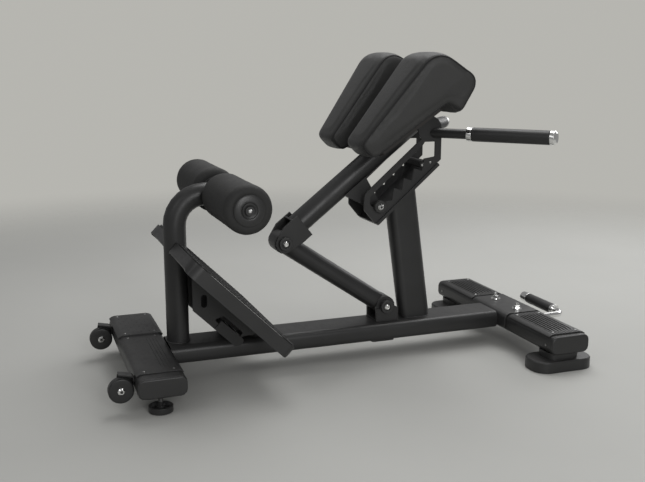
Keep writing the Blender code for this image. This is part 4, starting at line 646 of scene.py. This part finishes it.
def face_out(mesh):
    """Merges doubles and turns every face outwards."""
    shape = bmesh.new()
    shape.from_mesh(mesh)
    bmesh.ops.remove_doubles(shape, verts=shape.verts, dist=MERGE_DISTANCE)
    bmesh.ops.recalc_face_normals(shape, faces=shape.faces)
    shape.to_mesh(mesh)
    shape.free()


def arc(centre, radius, start, end, steps):
    """Points of an arc in the profile's plane, from one angle to the other."""
    return [
        (centre[0] + radius * cos(start + (end - start) * k / steps),
         centre[1] + radius * sin(start + (end - start) * k / steps))
        for k in range(steps + 1)
    ]


def arm_direction():
    return Vector((cos(ARM_ANGLE), 0, sin(ARM_ANGLE))), Vector((-sin(ARM_ANGLE), 0, cos(ARM_ANGLE)))


def arm_coordinates(point):
    """Distances of a point from the elbow along the pad arm and square to it."""
    along, square = arm_direction()
    away = point - ELBOW
    return away.dot(along), away.dot(square)


def arm_place(u, y, v):
    along, square = arm_direction()
    return ELBOW + along * u + square * v + Vector((0, y, 0))


def loose_copy(name, node, inset):
    """A merged copy of a solid's triangles, drawn in by an inset."""
    shape = bmesh.new()
    shape.from_mesh(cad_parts[node].data)
    bmesh.ops.remove_doubles(shape, verts=shape.verts, dist=MERGE_DISTANCE)
    shape.normal_update()
    points = [v.co - v.normal * inset for v in shape.verts]
    faces = [[v.index for v in face.verts] for face in shape.faces]
    shape.free()
    return link(bpy.data.objects.new(name, new_mesh(name, points, faces)))


def stuffed(mesh_holder):
    """Remeshes and smooths the shape, blows it up as cloth and holds every point within its cap."""
    even = mesh_holder.modifiers.new("even", "REMESH")
    even.mode = "VOXEL"
    even.voxel_size = PAD_VOXEL
    soft = mesh_holder.modifiers.new("soft", "SMOOTH")
    soft.factor = PAD_SMOOTHING_FACTOR
    soft.iterations = PAD_SMOOTHING
    mesh_holder.data = evaluated_mesh(mesh_holder)
    mesh_holder.modifiers.clear()
    start = [v.co.copy() for v in mesh_holder.data.vertices]
    cloth = mesh_holder.modifiers.new("cloth", "CLOTH")
    cloth.settings.use_pressure = True
    cloth.settings.uniform_pressure_force = PAD_PRESSURE
    cloth.settings.effector_weights.gravity = 0
    cloth.point_cache.frame_start = 1
    cloth.point_cache.frame_end = PAD_FRAMES
    for step in range(1, PAD_FRAMES + 1):
        bpy.context.scene.frame_set(step)
    blown = evaluated_mesh(mesh_holder)
    mesh_holder.modifiers.clear()
    bpy.context.scene.frame_set(1)
    outward = [v.normal.copy() for v in mesh_holder.data.vertices]
    pushes = [(v.co - before).dot(out) for v, before, out in zip(blown.vertices, start, outward)]
    for v, before, out, push in zip(blown.vertices, start, outward, evened(blown, pushes)):
        _, height = arm_coordinates(before)
        free = min(max((height - PAD_FLOOR_V) / PAD_REST, 0.0), 1.0)
        v.co = before + out * min(max(push, 0.0), PAD_INSET + PAD_CROWN * free)
    mesh_holder.data = blown


def evened(mesh, values):
    """Spreads each point's value over its neighbours, so that taut cover keeps no creases."""
    edges = np.empty(2 * len(mesh.edges), dtype=np.int64)
    mesh.edges.foreach_get("vertices", edges)
    first, second = edges[0::2], edges[1::2]
    count = np.bincount(edges, minlength=len(values))
    field = np.array(values)
    for _ in range(PAD_EVENING):
        total = np.bincount(first, field[second], len(values))
        total = total + np.bincount(second, field[first], len(values))
        field = (field + total / count) / 2
    return field.tolist()


def smoothed(obj):
    """One level of subdivision, applied."""
    finer = obj.modifiers.new("finer", "SUBSURF")
    finer.levels = 1
    finer.render_levels = 1
    obj.data = evaluated_mesh(obj)
    obj.modifiers.clear()


def pad_side(u, low, high):
    """A pad's side distance from the middle plane at u along the arm."""
    return low + (high - low) * (u - PAD_LOW_U) / (PAD_HIGH_U - PAD_LOW_U)


def surface_loop(tree, low, high, sign, pitch):
    """A closed row of spots on a cushion, round its outline, on a slanting plane between its sides."""
    along, square = arm_direction()
    hub = arm_place(PAD_HUB_U, sign * pad_side(PAD_HUB_U, low, high), PAD_HUB_V)
    lean = (high - low) / (PAD_HIGH_U - PAD_LOW_U)
    loop = []
    for k in range(SEAM_RAYS):
        angle = 2 * pi * k / SEAM_RAYS
        ray = (along + Vector((0, sign * lean, 0))) * cos(angle) + square * sin(angle)
        place, normal, _, _ = tree.ray_cast(hub, ray.normalized(), 1.0)
        if place is not None:
            loop.append((place, normal))
    return evenly(loop, pitch)


def evenly(loop, pitch):
    """Resamples a closed row of place and normal at about the pitch."""
    lengths = [0.0]
    for k in range(len(loop)):
        lengths.append(lengths[-1] + (loop[(k + 1) % len(loop)][0] - loop[k][0]).length)
    count = max(3, round(lengths[-1] / pitch))
    row = []
    k = 0
    for n in range(count):
        wanted = lengths[-1] * n / count
        while lengths[k + 1] < wanted:
            k += 1
        share = (wanted - lengths[k]) / max(lengths[k + 1] - lengths[k], TINY)
        place, normal = loop[k]
        next_place, next_normal = loop[(k + 1) % len(loop)]
        row.append((place.lerp(next_place, share), normal.lerp(next_normal, share).normalized()))
    return row


def with_run(row):
    """Adds to each spot the direction in which the row runs there."""
    return [
        (place, normal, (row[(k + 1) % len(row)][0] - row[k - 1][0]).normalized())
        for k, (place, normal) in enumerate(row)
    ]


def pressed_along(mesh, rows):
    """Draws the surface in along each row, as thread does along a seam."""
    spots = [place for row in rows for place, _ in row]
    tree = KDTree(len(spots))
    for k, place in enumerate(spots):
        tree.insert(place, k)
    tree.balance()
    normals = [v.normal.copy() for v in mesh.vertices]
    for v, normal in zip(mesh.vertices, normals):
        _, _, distance = tree.find(v.co)
        if distance < SEAM_REACH * SEAM_WIDTH:
            v.co -= normal * SEAM_DEPTH * exp(-((distance / SEAM_WIDTH) ** 2))


def piping(name, rows, slot, body):
    """Round welts lying in the seams."""
    curve = bpy.data.curves.new(name, "CURVE")
    curve.dimensions = "3D"
    curve.bevel_depth = PIPING
    curve.bevel_resolution = PIPING_ROUNDNESS
    curve.use_fill_caps = True
    for row in rows:
        line = curve.splines.new("POLY")
        line.points.add(len(row) - 1)
        for point, (place, normal) in zip(line.points, row):
            point.co = (*(place - normal * PIPING_SINK), 1.0)
        line.use_cyclic_u = True
    holder = link(bpy.data.objects.new(name, curve))
    mesh = evaluated_mesh(holder)
    bpy.data.objects.remove(holder)
    return show(name, mesh, slot, body)


def pads():
    """Two stuffed cushions with welted seams round both sides. The left one mirrors the right one."""
    body = loose_copy("cushion_right", "pad_right", PAD_INSET)
    stuffed(body)
    smoothed(body)
    tree = mesh_tree(body.data)
    outer = (PAD_OUT_LOW - SEAM_INSET, PAD_OUT_HIGH - SEAM_INSET)
    inner = (PAD_IN_LOW + SEAM_INSET, PAD_IN_HIGH + SEAM_INSET)
    seams = [surface_loop(tree, *sides, -1, SEAM_PITCH) for sides in (outer, inner)]
    outer_row = tuple(y - STITCH_ROW for y in outer)
    inner_row = tuple(y + STITCH_ROW for y in inner)
    stitches = [spot for sides in (outer_row, inner_row)
                for spot in with_run(surface_loop(tree, *sides, -1, STITCH_PITCH))]
    pressed_along(body.data, seams)
    mesh = body.data
    bpy.data.objects.remove(body)
    for side, sign in SIDES:
        flip = Vector((1, -sign, 1))
        copy = mesh.copy()
        for v in copy.vertices:
            v.co *= flip
        face_out(copy)
        cushion = show("cushion_" + side, copy, "charcoal_vinyl", "carriage", pi)
        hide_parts("pad_" + side)
        moved = [[(p * flip, n * flip) for p, n in row] for row in seams]
        # The welts take the dark thread finish, darker than the vinyl: painted shade along each seam.
        piping("piping_" + side, moved, "thread", "carriage")
        spots = [(p * flip, n * flip, r * flip) for p, n, r in stitches]
        sizes = {"Length": STITCH_LENGTH, "Width": STITCH_THREAD, "Thickness": STITCH_THREAD}
        scatter("stitches_" + side, "bead", spots, sizes, "thread", "carriage")


def middle(node):
    low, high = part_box(node)
    return (low + high) / 2


def foam_profile():
    """The foam's outline: rounded ends, pressed in a little round the flanges of the core."""
    edge = ROLLER_RADIUS - ROLLER_EDGE
    inner_end = [(edge * share, ROLLER_IN + depth) for share, depth in FOAM_INNER_DENT]
    inner_end += arc((edge, ROLLER_IN + ROLLER_EDGE), ROLLER_EDGE, -pi / 2, 0, ROLLER_EDGE_STEPS)
    length = ROLLER_OUT - ROLLER_IN - 2 * ROLLER_EDGE
    shares = [k / ROLLER_ROWS for k in range(1, ROLLER_ROWS)]
    middle_part = [
        (ROLLER_RADIUS - FOAM_SAG * sin(pi * share), ROLLER_IN + ROLLER_EDGE + length * share)
        for share in shares
    ]
    outer_end = arc((edge, ROLLER_OUT - ROLLER_EDGE), ROLLER_EDGE, 0, pi / 2, ROLLER_EDGE_STEPS)
    outer_end += [(edge * share, ROLLER_OUT - depth) for share, depth in FOAM_OUTER_DENT]
    bore = [(ROLLER_BORE, ROLLER_OUT - FOAM_BORE_OUTER), (ROLLER_BORE, ROLLER_IN + FOAM_BORE_INNER)]
    return inner_end + middle_part + outer_end + bore


def core_profile():
    """The core: flange, tube, and at the outer end a domed cap with a raised ring round its bolt."""
    angles = [pi / 2 * k / CORE_DOME_STEPS for k in range(1, CORE_DOME_ROWS + 1)]
    dome = [
        (CORE_FLANGE * cos(angle), ROLLER_OUT + CORE_DOME_FOOT + CORE_DOME_RISE * sin(angle))
        for angle in angles
    ]
    ring = [(radius, ROLLER_OUT + height) for radius, height in CORE_RING]
    return [
        (CORE_BORE, CORE_START),
        (CORE_FLANGE - CORE_ROUND, CORE_START),
        (CORE_FLANGE, CORE_START + CORE_ROUND),
        (CORE_FLANGE, ROLLER_IN - CORE_CLEARANCE),
        (CORE_TUBE, ROLLER_IN - CORE_CLEARANCE),
        (CORE_TUBE, ROLLER_OUT + CORE_CLEARANCE),
        (CORE_FLANGE - CORE_LIP, ROLLER_OUT + CORE_CLEARANCE),
    ] + dome + ring


def rollers():
    for side, sign in SIDES:
        centre = middle("foam_roller_" + side)
        body = "roller_" + side
        foam = turned(
            "foam_" + side, foam_profile(), centre, sign, ROLLER_STEPS, "black_foam", body, FOAM_WAVE
        )
        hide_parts("foam_roller_" + side)
        core = turned("roller_cap_" + side, core_profile(), centre, sign, CORE_STEPS, "black_plastic", body)
        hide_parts("roller_core_" + side)


def wheel_profile(radius, width):
    """A wheel: rounded tread with two fine grooves, and slightly dished faces round its bore."""
    half = width / 2
    round_radius, round_along = radius - WHEEL_ROUND, half - WHEEL_ROUND
    outer = arc((round_radius, round_along), WHEEL_ROUND, pi / 2, 0, WHEEL_ROUND_STEPS)
    floor_radius = radius - WHEEL_GROOVE
    grooves = []
    for place in (WHEEL_GROOVE_PLACE, -WHEEL_GROOVE_PLACE):
        grooves += [(radius, place + WHEEL_GROOVE_TOP), (floor_radius, place + WHEEL_GROOVE_FLOOR)]
        grooves += [(floor_radius, place - WHEEL_GROOVE_FLOOR), (radius, place - WHEEL_GROOVE_TOP)]
    inner = arc((round_radius, -round_along), WHEEL_ROUND, 0, -pi / 2, WHEEL_ROUND_STEPS)
    face = [(WHEEL_BORE, half - WHEEL_DISH), (WHEEL_HUB, half - WHEEL_DISH)]
    back = [(r, -along) for r, along in reversed(face)]
    return face + outer + grooves + inner + back


def wheels():
    for side, sign in SIDES:
        name = "wheel_" + side
        low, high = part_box(name)
        centre = (low + high) / 2
        outline = wheel_profile((high.x - low.x) / 2, high.y - low.y)
        profile = [(r, abs(centre.y) + along) for r, along in outline]
        wheel = turned("wheel_tyre_" + side, profile, centre, sign, WHEEL_STEPS, "black_rubber", name)
        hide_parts("wheel_" + side)


def end_spots(node, depth):
    """Spots on the two ends of a pin that lies along Y, sunk by a depth."""
    low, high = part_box(node)
    x, z = (low.x + high.x) / 2, (low.z + high.z) / 2
    return [
        (Vector((x, low.y + depth, z)), -ALONG_Y, ALONG_X),
        (Vector((x, high.y - depth, z)), ALONG_Y, ALONG_X),
    ]


def screws():
    for name, pin, depth, sizes, body in PIN_ENDS:
        scatter(name, "screw", end_spots(pin, depth), sizes, "chrome", body)
    ends = []
    for side, _ in SIDES:
        low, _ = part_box("wheel_fork_" + side)
        centre = middle("wheel_" + side)
        ends.append((Vector((centre.x, low.y + WHEEL_RECESS, centre.z)), -ALONG_Y, ALONG_X))
    scatter("wheel_bolts", "screw", ends, WHEEL_SCREW, "chrome", "frame")
    scatter("stop_bolts", "screw", end_spots("stop_rod", 0.0), STOP_SCREW, "chrome", "frame")
    small_screws()
    saddle_bolts()


def small_screws():
    """Screws at the corners of the four treads, on the front bar's side and on the ladder's plates."""
    spots = []
    for name in ("front_tread_right", "front_tread_left", "rear_tread_right", "rear_tread_left"):
        low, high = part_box(name)
        tree = mesh_tree(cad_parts[name].data)
        for x in (low.x + TREAD_SCREW_X, high.x - TREAD_SCREW_X):
            for y in (low.y + TREAD_SCREW_Y, high.y - TREAD_SCREW_Y):
                place = surface_under(tree, x, y)
                top = place.z if place else high.z
                spots.append((Vector((x, y, top - SMALL_SCREW_SINK)), UP, ALONG_X))
    low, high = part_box("front_crossbar")
    for y in (low.y + CROSSBAR_SCREW_Y, high.y - CROSSBAR_SCREW_Y):
        place = Vector((low.x - SMALL_SCREW_SINK, y, low.z + CROSSBAR_SCREW_Z))
        spots.append((place, -ALONG_X, ALONG_Y))
    for side, sign in SIDES:
        low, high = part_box("ladder_plate_" + side)
        outer = high.y if sign > 0 else low.y
        spots.append((Vector((LADDER_SCREW_X, outer, LADDER_SCREW_Z)), ALONG_Y * sign, ALONG_X))
    scatter("small_screws", "screw", spots, SMALL_SCREW, "zinc", "frame")


def mesh_tree(mesh):
    return BVHTree.FromPolygons([v.co for v in mesh.vertices], [p.vertices for p in mesh.polygons])


def surface_under(tree, x, y):
    """The point of a tread's surface that lies at x and y, or None beside it."""
    return tree.ray_cast(Vector((x, y, RAY_HEIGHT)), -UP, RAY_LENGTH)[0]


def saddle_bolts():
    low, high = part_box("saddle_plate")
    x = (low.x + high.x) / 2
    spots = [
        (Vector((x, sign * SADDLE_BOLT_Y, high.z)), UP, Vector((1, sign * SADDLE_BOLT_TURN, 0)))
        for _, sign in SIDES
    ]
    scatter("saddle_bolts", "bolt", spots, BOLT, "chrome", "frame")


def round_spot(centre, radius, height, angle):
    """A place on a level circle, the direction outwards and the direction along the circle."""
    out = Vector((cos(angle), sin(angle), 0))
    return Vector((centre[0], centre[1], height)) + out * radius, out, Vector((-sin(angle), cos(angle), 0))


def stud_threads():
    """The thread of each levelling stud."""
    for side, _ in SIDES:
        low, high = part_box("levelling_foot_" + side)
        centre = (low + high) / 2
        count = floor((high.z - low.z - STUD_PLAIN) / THREAD_PITCH) * THREAD_STEPS
        turns = []
        for k in range(count):
            height = low.z + STUD_START + THREAD_PITCH * k / THREAD_STEPS
            turns.append(round_spot(centre, STUD_RADIUS, height, 2 * pi * k / THREAD_STEPS))
        scatter("stud_thread_" + side, "bead", turns, THREAD_BEAD, "zinc", "levelling_" + side)


def welds():
    """Weld beads where the posts stand on the rail."""
    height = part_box("main_rail")[1].z + WELD_LIFT
    low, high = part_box("roller_post")
    radius = (high.y - low.y) / 2
    count = ceil(2 * pi * radius / WELD_PITCH)
    ring = []
    for k in range(count):
        place, out, run = round_spot((low.x + radius, 0), radius, height, 2 * pi * k / count)
        ring.append((place, (out + UP).normalized(), run))
    scatter("roller_post_weld", "bead", ring, WELD_BEAD, "black_paint", "frame")
    foot_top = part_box("ladder_post")[0].z + POST_FOOT_LAYER
    foot = [v.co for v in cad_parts["ladder_post"].data.vertices if v.co.z < foot_top]
    foot_x = sum(p.x for p in foot) / len(foot)
    places = {(round(p.x, POST_FOOT_DIGITS), round(p.y, POST_FOOT_DIGITS)) for p in foot}
    around = sorted(places, key=lambda p: atan2(p[1], p[0] - foot_x))
    edge = [(Vector((x, y, height)), UP) for x, y in around if near_edge((x, y), around)]
    loop = with_run(evenly(edge, WELD_PITCH))
    scatter("ladder_post_weld", "bead", loop, WELD_BEAD, "black_paint", "frame")


def near_edge(point, points):
    """True for a corner on the post's outer face, and not on its inner one."""
    most = max(abs(p[1]) for p in points)
    low, high = min(p[0] for p in points), max(p[0] for p in points)
    share_x = abs(point[0] - (low + high) / 2) / ((high - low) / 2)
    share_y = abs(point[1]) / most
    if max(share_x, share_y) > POST_FACE_SHARE:
        return True
    return share_x**POST_CORNER_POWER + share_y**POST_CORNER_POWER > POST_CORNER_SHARE


def rear_dots():
    """Dark dots in rows on the far rear tread."""
    low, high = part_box("rear_tread_left")
    tree = mesh_tree(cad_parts["rear_tread_left"].data)
    rows = floor((high.y - low.y - DOT_SPARE_Y) / DOT_PITCH)
    columns = floor((high.x - low.x - DOT_SPARE_X) / DOT_PITCH)
    spots = []
    for i in range(rows + 1):
        for j in range(columns + 1):
            shift = DOT_STAGGER if i % 2 else -DOT_STAGGER
            x = (low.x + high.x) / 2 + (j - columns / 2 + shift) * DOT_PITCH
            y = (low.y + high.y) / 2 + (i - rows / 2) * DOT_PITCH
            place = surface_under(tree, x, y)
            if place:
                spots.append((place, UP, ALONG_X))
    scatter("rear_tread_dots", "bead", spots, DOT_BEAD, "thread", "frame")


def ridge_sizes(node, margin, width, thickness):
    """The sizes of a ridge that runs along a tread and stops short of its ends by a margin."""
    low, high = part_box(node)
    return {"Length": high.y - low.y - 2 * margin, "Width": width, "Thickness": thickness}


def rear_ridges():
    """Fine ridges along the near rear tread, towards the rail."""
    centre = middle("rear_tread_right")
    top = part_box("rear_tread_right")[1].z
    spots = [(Vector((centre.x + x, centre.y, top)), UP, ALONG_Y) for x in REAR_RIDGES]
    sizes = ridge_sizes("rear_tread_right", REAR_RIDGE_MARGIN, REAR_RIDGE_WIDTH, REAR_RIDGE_THICKNESS)
    scatter("rear_tread_ridges", "bar", spots, sizes, "black_rubber", "frame")


def front_ridges():
    """Long pressed ridges along the two front treads."""
    spots = []
    for side, _ in SIDES:
        centre = middle("front_tread_" + side)
        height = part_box("front_tread_" + side)[1].z - FRONT_RIDGE_SINK
        for j in range(FRONT_RIDGES):
            x = centre.x + (j - (FRONT_RIDGES - 1) / 2) * FRONT_RIDGE_STEP
            spots.append((Vector((x, centre.y, height)), UP, ALONG_Y))
    sizes = ridge_sizes("front_tread_left", FRONT_RIDGE_MARGIN, FRONT_RIDGE_WIDTH, FRONT_RIDGE_THICKNESS)
    scatter("front_tread_ridges", "bar", spots, sizes, "black_rubber", "frame")


def plate_directions():
    """The foot plate's angle, its direction downhill and the direction square to it."""
    low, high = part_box("foot_tread")
    angle = atan2(high.z - low.z, high.x - low.x)
    return angle, Vector((cos(angle), 0, -sin(angle))), Vector((sin(angle), 0, cos(angle)))


def foot_plate_trim():
    """A pale line along each side edge of the foot plate: worn metal, and a painted highlight of the edge.
    """
    low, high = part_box("foot_plate")
    tread_low, tread_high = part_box("foot_tread")
    angle, down, up = plate_directions()
    start = Vector((tread_low.x, 0, tread_high.z)) - up * TRIM_SINK
    length = (tread_high.x - tread_low.x) / cos(angle)
    spots = [
        (start + down * (length / 2) + Vector((0, y, 0)), up, down)
        for y in (low.y + TRIM_INSET, high.y - TRIM_INSET)
    ]
    sizes = {"Length": length - TRIM_SHORTER, "Width": TRIM_WIDTH, "Thickness": TRIM_THICKNESS}
    scatter("foot_plate_trim", "bar", spots, sizes, "worn_edge_and_highlight", "frame")


def foot_plate_bars():
    """Rows of pressed bars over the foot plate's tread, up to its edges."""
    low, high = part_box("foot_tread")
    _, down, up = plate_directions()
    tree = mesh_tree(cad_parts["foot_tread"].data)
    length = sqrt((high.z - low.z) ** 2 + (high.x - low.x) ** 2)
    rows = floor(length / PLATE_BAR_PITCH_ALONG)
    columns = floor((high.y - low.y - PLATE_BAR_SPARE) / PLATE_BAR_PITCH_ACROSS)
    top = Vector((low.x, 0, high.z)) + up * PLATE_RAY_HEIGHT
    spots = []
    for i in range(rows):
        for j in range(columns + 1):
            start = top + down * (i + PLATE_BAR_START) * PLATE_BAR_PITCH_ALONG
            start.y = (low.y + high.y) / 2 + (j - columns / 2) * PLATE_BAR_PITCH_ACROSS
            place, normal, _, _ = tree.ray_cast(start, -up, 2 * PLATE_RAY_HEIGHT)
            if place and normal.dot(up) > PLATE_BAR_FLATNESS:
                slant = PLATE_BAR_SLANT if (i + j) % 2 else -PLATE_BAR_SLANT
                run = (down + ALONG_Y * slant).normalized()
                spots.append((place - up * PLATE_BAR_SINK, up, run))
    scatter("foot_plate_bars", "bar", spots, PLATE_BAR, "satin_black", "frame")


def soften(node):
    """Merges a solid's loose triangles for the shading and gives its sharp edges a fine round."""
    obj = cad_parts[node]
    joined = obj.modifiers.new("joined", "WELD")
    joined.merge_threshold = MERGE_DISTANCE
    edge = obj.modifiers.new("edge", "BEVEL")
    edge.limit_method = "ANGLE"
    edge.angle_limit = EDGE_ANGLE
    edge.width = WIDE_EDGES.get(node.rsplit("_", 1)[0], EDGE_WIDTH)
    edge.segments = EDGE_SEGMENTS
    shading = obj.modifiers.new("shading", "WEIGHTED_NORMAL")
    shading.keep_sharp = False


def repaint():
    """Every solid gets its finish, by the name that it came with, and those in view get soft edges."""
    for name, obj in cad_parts.items():
        for place in obj.material_slots:
            label = place.material.name.split(".")[0]
            place.material = FINISHES[NODE_FINISHES.get(name, label)]
        if not obj.hide_render:
            soften(name)


def studio_world():
    """Even light from all round, with a plain pale backdrop for the camera and a darker one in gloss."""
    world = bpy.data.worlds.new("studio")
    world.use_nodes = True
    bpy.context.scene.world = world
    tree = world.node_tree
    rays = node_in(tree, "ShaderNodeLightPath").outputs
    around = mixed(tree, rays["Is Glossy Ray"], (AMBIENT,) * 3, (GLOSS_GREY,) * 3)
    seen = mixed(tree, rays["Is Camera Ray"], around, STUDIO_GREY)
    feed(tree, tree.nodes["Background"], {"Color": seen})


def softbox(name, place, target, size, power):
    lamp = bpy.data.lights.new(name, "AREA")
    lamp.shape = "RECTANGLE"
    lamp.size, lamp.size_y = size
    lamp.energy = power
    holder = link(bpy.data.objects.new(name, lamp))
    holder.location = place
    holder.rotation_euler = (Vector(target) - Vector(place)).to_track_quat("-Z", "Y").to_euler()


def studio_floor():
    """A pale floor that takes the shadow and fades into the backdrop."""
    angles = [2 * pi * k / FLOOR_STEPS for k in range(FLOOR_STEPS)]
    points = [(FLOOR_RADIUS * cos(angle), FLOOR_RADIUS * sin(angle), 0) for angle in angles]
    mesh = new_mesh("studio_floor", points, [tuple(range(FLOOR_STEPS))])
    obj = link(bpy.data.objects.new("studio_floor", mesh))
    material = bpy.data.materials.new("studio_floor")
    material.use_nodes = True
    tree = material.node_tree
    cloud = spread(tree, noise_of(tree, FLOOR_CLOUD, FLOOR_CLOUD_DETAIL), 0.0, 1.0)
    darker = tuple(FLOOR_CLOUD_SHADE * c for c in FLOOR_GREY)
    place = node_in(tree, "ShaderNodeTexCoord").outputs["Object"]
    away = node_in(tree, "ShaderNodeVectorMath", {0: place}, operation="LENGTH").outputs["Value"]
    ends = {"From Min": FLOOR_FADE_START, "From Max": FLOOR_FADE_END, "To Min": 1.0, "To Max": 0.0}
    fade = node_in(tree, "ShaderNodeMapRange", {"Value": away, **ends}, interpolation_type="SMOOTHSTEP")
    feed(tree, tree.nodes["Principled BSDF"], {
        "Roughness": FLOOR_ROUGHNESS,
        "Base Color": mixed(tree, cloud, FLOOR_GREY, darker),
        "Alpha": fade.outputs["Result"],
    })
    mesh.materials.append(material)


def camera():
    lens = bpy.data.cameras.new("camera")
    lens.sensor_fit = "HORIZONTAL"
    lens.sensor_width = SENSOR_WIDTH
    lens.lens = FOCAL_PIXELS * SENSOR_WIDTH / PICTURE_WIDTH
    holder = link(bpy.data.objects.new("camera", lens))
    holder.location = CAMERA_PLACE
    holder.rotation_euler = Euler((pi / 2 - CAMERA_DIP, 0, -CAMERA_TURN))
    bpy.context.scene.camera = holder


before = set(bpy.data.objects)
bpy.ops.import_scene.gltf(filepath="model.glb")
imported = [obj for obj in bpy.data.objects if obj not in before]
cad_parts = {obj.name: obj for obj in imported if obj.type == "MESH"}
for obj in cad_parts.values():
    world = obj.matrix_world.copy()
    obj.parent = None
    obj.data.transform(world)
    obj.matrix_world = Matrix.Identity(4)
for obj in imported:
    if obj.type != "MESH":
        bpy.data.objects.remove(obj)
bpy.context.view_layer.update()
bpy.context.scene.view_settings.view_transform = "Standard"
camera()
studio_world()
for values in SOFTBOXES:
    softbox(*values)
studio_floor()
pads()
rollers()
wheels()
screws()
stud_threads()
welds()
rear_dots()
rear_ridges()
front_ridges()
foot_plate_bars()
foot_plate_trim()
repaint()
